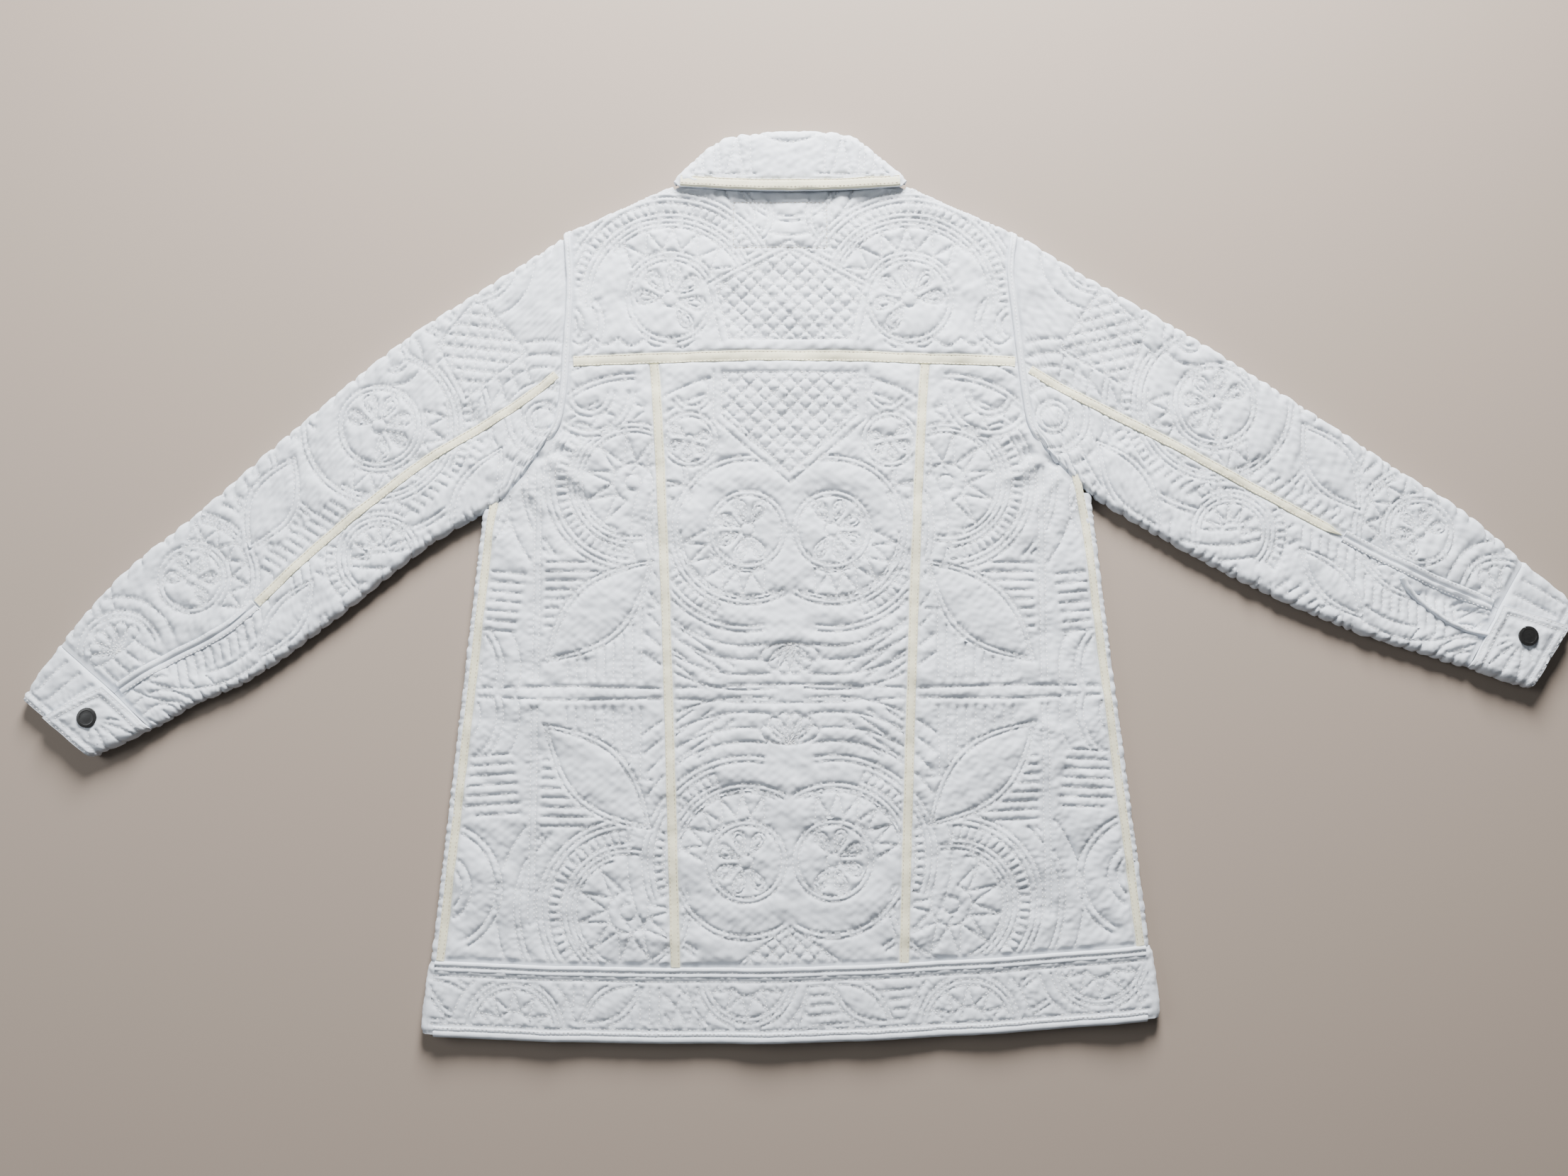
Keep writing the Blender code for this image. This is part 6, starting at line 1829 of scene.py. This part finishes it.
def build_collar():
    look = looks()
    dress([collar_quilt()], "thread_collar", {"collar_fall": ["back_yoke"]})
    path = resample([(x, float(collar_edge_y(x)) + COLLAR_BINDING / 2 + 0.5)
                     for x in np.linspace(-97, 98, 40)], TAPE_STEP)

    def place(points, out):
        height = 2 * COLLAR_RADIUS + 1.0 + out + 0.4 * ripples(points, 30.0, 61)
        return np.column_stack((points, height))

    half = COLLAR_BINDING / 2
    profile = [(-half, -1.6), (-half - 0.6, -0.4), (-half - 0.3, 0.8), (-half + 0.8, 1.4),
               (-1.0, 1.3), (0.9, 1.35), (2.6, 1.25), (3.4, 0.85), (3.9, 1.2), (half, 0.4)]
    made = band("binding_collar", path, place, profile, look["Bias tape"])
    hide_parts("collar_binding")
    sew("thread_binding", [run_on(place, offset_path(path, 3.3), 1.0),
                           run_on(place, offset_path(path, -2.6), 1.4)], look["Tape thread"])
    for name in ("collar_front", "collar_stand"):
        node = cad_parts[name]
        node.data.materials.clear()
        node.data.materials.append(look["Plain cotton"])


def build_hem():
    look = looks()
    dress([hem_quilt()], "thread_hem", {})
    left, right = (side * (float(hem_side_x(side, HEM_SEAM_Y)) - 5) for side, _ in SIDES)
    xs = np.linspace(left, right, 200)

    def welt_place(points, out):
        seam = np.column_stack((points[:, 0], np.full(len(points), HEM_SEAM_Y)))
        height = np.maximum(hem_height(points), back_height(seam)) + 0.3 + out
        return np.column_stack((points, height))

    def edge_place(points, out):
        height = hem_height(np.maximum(points, (-1e9, HEM_Y))) + 0.3 + out
        return np.column_stack((points, height))

    path = np.column_stack((xs, np.full(len(xs), HEM_TOP - 2.75)))
    made = band("welt_hem", path, welt_place, HEM_WELT_SECTION, look["Plain cotton"])
    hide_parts("hem_welt")
    runs = [run_on(welt_place, offset_path(path, -0.2), 0.85)]

    path = np.column_stack((xs, np.full(len(xs), HEM_Y)))
    made = band("binding_hem", path, edge_place, HEM_BINDING_SECTION, look["Plain cotton"],
                HEM_BINDING_UNDER)
    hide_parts("hem_binding")
    runs += [run_on(edge_place, offset_path(path, 3.7), 0.8),
             run_on(edge_place, offset_path(path, 6.4), 1.4)]
    sew("thread_welts", runs, look["White thread"])


def armhole_place(side):
    """The place of the welt that stands round an armhole."""
    sleeve = Sleeve(side)

    def place(points, out):
        t, share = sleeve.find(points)
        y = points[:, 1]
        top = 2 * sleeve.at(np.maximum(t, 0.0))[4] + sleeve.drape(t, share)
        risen = smooth_step((y - 61) / 14)
        proud = np.maximum(0.0, top - back_height(points)) * smooth_step((252 - y) / 12)
        fade = risen * (1 - 0.55 * smooth_step((y - 243) / 8))
        sunk = 2 * (1 - risen)
        return yoke_place(points, proud + 0.3 + out * fade - sunk)
    return place


def build_tapes():
    look = looks()
    runs = []
    tapes = [("yoke_tape", yoke_seam_path(0.0, -190.5, 198.5), YOKE_TAPE_WIDTH)]
    top = float(yoke_seam_y(BACK_SEAM_TOP_X)) - YOKE_TAPE_WIDTH / 2 - 0.8
    bottom = HEM_SEAM_Y + 1.8
    for side, word in SIDES:
        ys = np.linspace(top, bottom, 60)
        tapes.append((f"back_tape_{word}", np.column_stack((back_seam_x(side, ys), ys)),
                      BACK_TAPE_WIDTH))
        ys = np.linspace(FOLD_TOP[side] + SIDE_TAPE_START[side], bottom, 60)
        inset = SIDE_SEAM_INSET + 0.085 * np.maximum(0.0, ys + 5)
        tapes.append((f"side_tape_{word}", np.column_stack((side_x(side, ys) - side * inset, ys)),
                      SIDE_TAPE_WIDTH))

    def place(points, out):
        return back_place(points, out + 0.1)

    for name, path, width in tapes:
        made = tape_piece(name.replace("tape", "seam"), path, width, place, look["Bias tape"], runs)
        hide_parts(name)
    welt_runs = []
    for side, word in SIDES:
        def sleeve_place(points, out, sleeve=Sleeve(side)):
            return sleeve.top_place(points, out + 0.1)

        made = tape_piece(f"elbow_seam_{word}",
                          seam_plan(side, ELBOW_TAPE_START, PLACKET_START, 60), BACK_TAPE_WIDTH,
                          sleeve_place, look["Bias tape"], runs, ELBOW_TAPE_POINT[side])
        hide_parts(f"elbow_tape_{word}")

        welt_place = armhole_place(side)
        (x0, y0), (x1, y1) = ARMHOLE[side][:2]
        curve = spline([(x0 + (x0 - x1) * 0.2, y0 + 8)] + ARMHOLE[side], 88)
        path = resample(curve[curve[:, 1] > 62], TAPE_STEP)
        made = band(f"armhole_seam_{word}", path, welt_place, ARMHOLE_SECTION,
                    look["Plain cotton"])
        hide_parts(f"armhole_welt_{word}")
        welt_runs.append(run_on(welt_place, offset_path(path, 0.15), 1.9))
    label = resample(LABEL, ROW_STEP, closed=True)
    runs.append(run_on(yoke_place, np.vstack((label, label[:1])), 0.15))
    sew("thread_tapes", runs, look["Tape thread"], width=0.7)
    sew("thread_armholes", welt_runs, look["White thread"])


# Stage
FLOOR_SIZE = 8.0
FLOOR_Z = -0.0004               # just under the cloth
SENSOR_WIDTH = 36.0
ROOM_COLOUR = (0.93, 0.965, 1.0, 1.0)
LIGHTS = (
    # name, place, size, setting of its power, colour
    ("key_light", (0.1, 1.55, 0.84), 0.8, "key_power", (1.0, 0.985, 0.97)),
    ("fill_light", (-1.8, 0.4, 1.3), 1.2, "fill_power", (0.95, 0.98, 1.0)),
)


def build_stage():
    """Floor, soft light from beyond the collar, pale surroundings and the camera."""
    chosen = bpy.context.scene.jacket
    bpy.ops.object.select_all(action="DESELECT")
    bpy.ops.mesh.primitive_plane_add(size=FLOOR_SIZE, location=(0, 0, FLOOR_Z))
    floor = bpy.context.object
    bpy.ops.object.transform_apply(location=True, rotation=True, scale=True)
    floor.name = "floor"
    floor.data.materials.append(floor_look("Pale floor", tuple(chosen.floor_colour)))

    for name, place, size, setting, colour in LIGHTS:
        light = bpy.data.lights.new(name, "AREA")
        light.shape = "DISK"
        light.size = size
        light.energy = getattr(chosen, setting)
        light.color = colour
        made = bpy.data.objects.new(name, light)
        made.location = place
        aim = Vector(CAMERA_TARGET) - Vector(place)
        made.rotation_euler = aim.to_track_quat("-Z", "Y").to_euler()
        bpy.context.collection.objects.link(made)

    world = bpy.data.worlds.new("Pale room")
    world.use_nodes = True
    background = world.node_tree.nodes["Background"]
    background.inputs["Color"].default_value = ROOM_COLOUR
    background.inputs["Strength"].default_value = chosen.room_light
    bpy.context.scene.world = world

    camera = bpy.data.cameras.new("camera")
    camera.sensor_width = SENSOR_WIDTH
    camera.lens = SENSOR_WIDTH * PHOTO_FOCAL / PHOTO_WIDTH
    camera.clip_start = 0.01
    made = bpy.data.objects.new("camera", camera)
    x, y, z = CAMERA_TARGET
    made.location = (x, y - CAMERA_DISTANCE * math.sin(CAMERA_TILT),
                     z + CAMERA_DISTANCE * math.cos(CAMERA_TILT))
    made.rotation_euler = (CAMERA_TILT, 0.0, 0.0)
    bpy.context.collection.objects.link(made)
    bpy.context.scene.camera = made


# Add-on
def share(name, description, default, low, high):
    return bpy.props.FloatProperty(name=name, description=description, default=default, min=low,
                                   max=high, subtype="FACTOR")


def length(name, description, default, low, high):
    return bpy.props.FloatProperty(name=name, description=description, default=default, min=low,
                                   max=high, subtype="NONE")


def power(name, description, default):
    return bpy.props.FloatProperty(name=name, description=description, default=default, min=0.0,
                                   max=500.0, subtype="POWER")


def colour(name, description, default):
    return bpy.props.FloatVectorProperty(name=name, description=description, default=default,
                                         min=0.0, max=1.0, size=3, subtype="COLOR")


class JacketSettings(bpy.types.PropertyGroup):
    """Sizes and colours of the jacket's looks"""
    puff_share: share("Puffiness", "How far the batting swells, as a share of the usual",
                      1.0, 0.3, 1.6)
    stitch_length: length("Stitch length", "Length of a quilting stitch in millimetres",
                          STITCH_LENGTH, 1.0, 6.0)
    stitch_gap: length("Stitch gap", "Room between two quilting stitches in millimetres",
                       STITCH_GAP, 0.3, 4.0)
    cloth_colour: colour("Cloth", "Colour of the cotton", (0.70, 0.745, 0.81))
    tape_colour: colour("Tape", "Colour of the bias tape on the seams", (0.80, 0.775, 0.575))
    thread_colour: colour("Thread", "Colour of the quilting thread", (0.97, 0.975, 0.98))
    edge_thread_colour: colour("Edge thread", "Colour of the stitches on the tapes",
                               (0.52, 0.45, 0.33))
    floor_colour: colour("Floor", "Colour of the floor", (0.29, 0.237, 0.196))
    key_power: power("Key light", "Power of the light beyond the collar", 166.0)
    fill_power: power("Fill light", "Power of the light from the left", 20.0)
    room_light: share("Room", "Strength of the pale surroundings", 0.13, 0.0, 5.0)


class JACKET_OT_stage(bpy.types.Operator):
    """Add the floor, the lights and the camera"""
    bl_idname = "jacket.stage"
    bl_label = "Stage"
    bl_options = {"REGISTER", "UNDO"}

    def execute(self, context):
        build_stage()
        return {"FINISHED"}


class JACKET_OT_back(bpy.types.Operator):
    """Add the yoke and the three panels of the back"""
    bl_idname = "jacket.back"
    bl_label = "Back"
    bl_options = {"REGISTER", "UNDO"}

    def execute(self, context):
        build_back()
        return {"FINISHED"}


class JACKET_OT_fronts(bpy.types.Operator):
    """Add the fronts with their folded side edges"""
    bl_idname = "jacket.fronts"
    bl_label = "Fronts"
    bl_options = {"REGISTER", "UNDO"}

    def execute(self, context):
        build_fronts()
        return {"FINISHED"}


class JACKET_OT_sleeves(bpy.types.Operator):
    """Add both halves of each sleeve"""
    bl_idname = "jacket.sleeves"
    bl_label = "Sleeves"
    bl_options = {"REGISTER", "UNDO"}

    def execute(self, context):
        build_sleeves()
        return {"FINISHED"}


class JACKET_OT_cuffs(bpy.types.Operator):
    """Add the cuffs and the plackets over them"""
    bl_idname = "jacket.cuffs"
    bl_label = "Cuffs"
    bl_options = {"REGISTER", "UNDO"}

    def execute(self, context):
        build_cuffs()
        return {"FINISHED"}


class JACKET_OT_snaps(bpy.types.Operator):
    """Add the snap on each cuff"""
    bl_idname = "jacket.snaps"
    bl_label = "Snaps"
    bl_options = {"REGISTER", "UNDO"}

    def execute(self, context):
        build_snaps()
        return {"FINISHED"}


class JACKET_OT_collar(bpy.types.Operator):
    """Add the collar's fall and its binding"""
    bl_idname = "jacket.collar"
    bl_label = "Collar"
    bl_options = {"REGISTER", "UNDO"}

    def execute(self, context):
        build_collar()
        return {"FINISHED"}


class JACKET_OT_hem(bpy.types.Operator):
    """Add the hem band, its welt and its binding"""
    bl_idname = "jacket.hem"
    bl_label = "Hem"
    bl_options = {"REGISTER", "UNDO"}

    def execute(self, context):
        build_hem()
        return {"FINISHED"}


class JACKET_OT_tapes(bpy.types.Operator):
    """Add the seam tapes and the armhole welts"""
    bl_idname = "jacket.tapes"
    bl_label = "Tapes"
    bl_options = {"REGISTER", "UNDO"}

    def execute(self, context):
        build_tapes()
        return {"FINISHED"}


OPERATORS = [
    JACKET_OT_stage, JACKET_OT_back, JACKET_OT_fronts, JACKET_OT_sleeves,
    JACKET_OT_cuffs, JACKET_OT_snaps, JACKET_OT_collar, JACKET_OT_hem,
    JACKET_OT_tapes,
]


class JACKET_PT_panel(bpy.types.Panel):
    """The jacket's settings and the buttons that build it"""
    bl_label = "Quilted jacket"
    bl_idname = "JACKET_PT_panel"
    bl_space_type = "VIEW_3D"
    bl_region_type = "UI"
    bl_category = "Jacket"

    def draw(self, context):
        for key in JacketSettings.__annotations__:
            self.layout.prop(context.scene.jacket, key)
        for operator in OPERATORS:
            self.layout.operator(operator.bl_idname)


CLASSES = [JacketSettings, *OPERATORS, JACKET_PT_panel]


def register():
    for made in CLASSES:
        bpy.utils.register_class(made)
    bpy.types.Scene.jacket = bpy.props.PointerProperty(type=JacketSettings)


def unregister():
    del bpy.types.Scene.jacket
    for made in reversed(CLASSES):
        bpy.utils.unregister_class(made)


def main():
    """Registers the add-on, then builds the stage and the jacket."""
    register()
    for operator in OPERATORS:
        name = operator.bl_idname.split(".")[1]
        if getattr(bpy.ops.jacket, name)() != {"FINISHED"}:
            raise RuntimeError(f"{operator.bl_label} wasn't built")


if __name__ == "__main__":
    main()
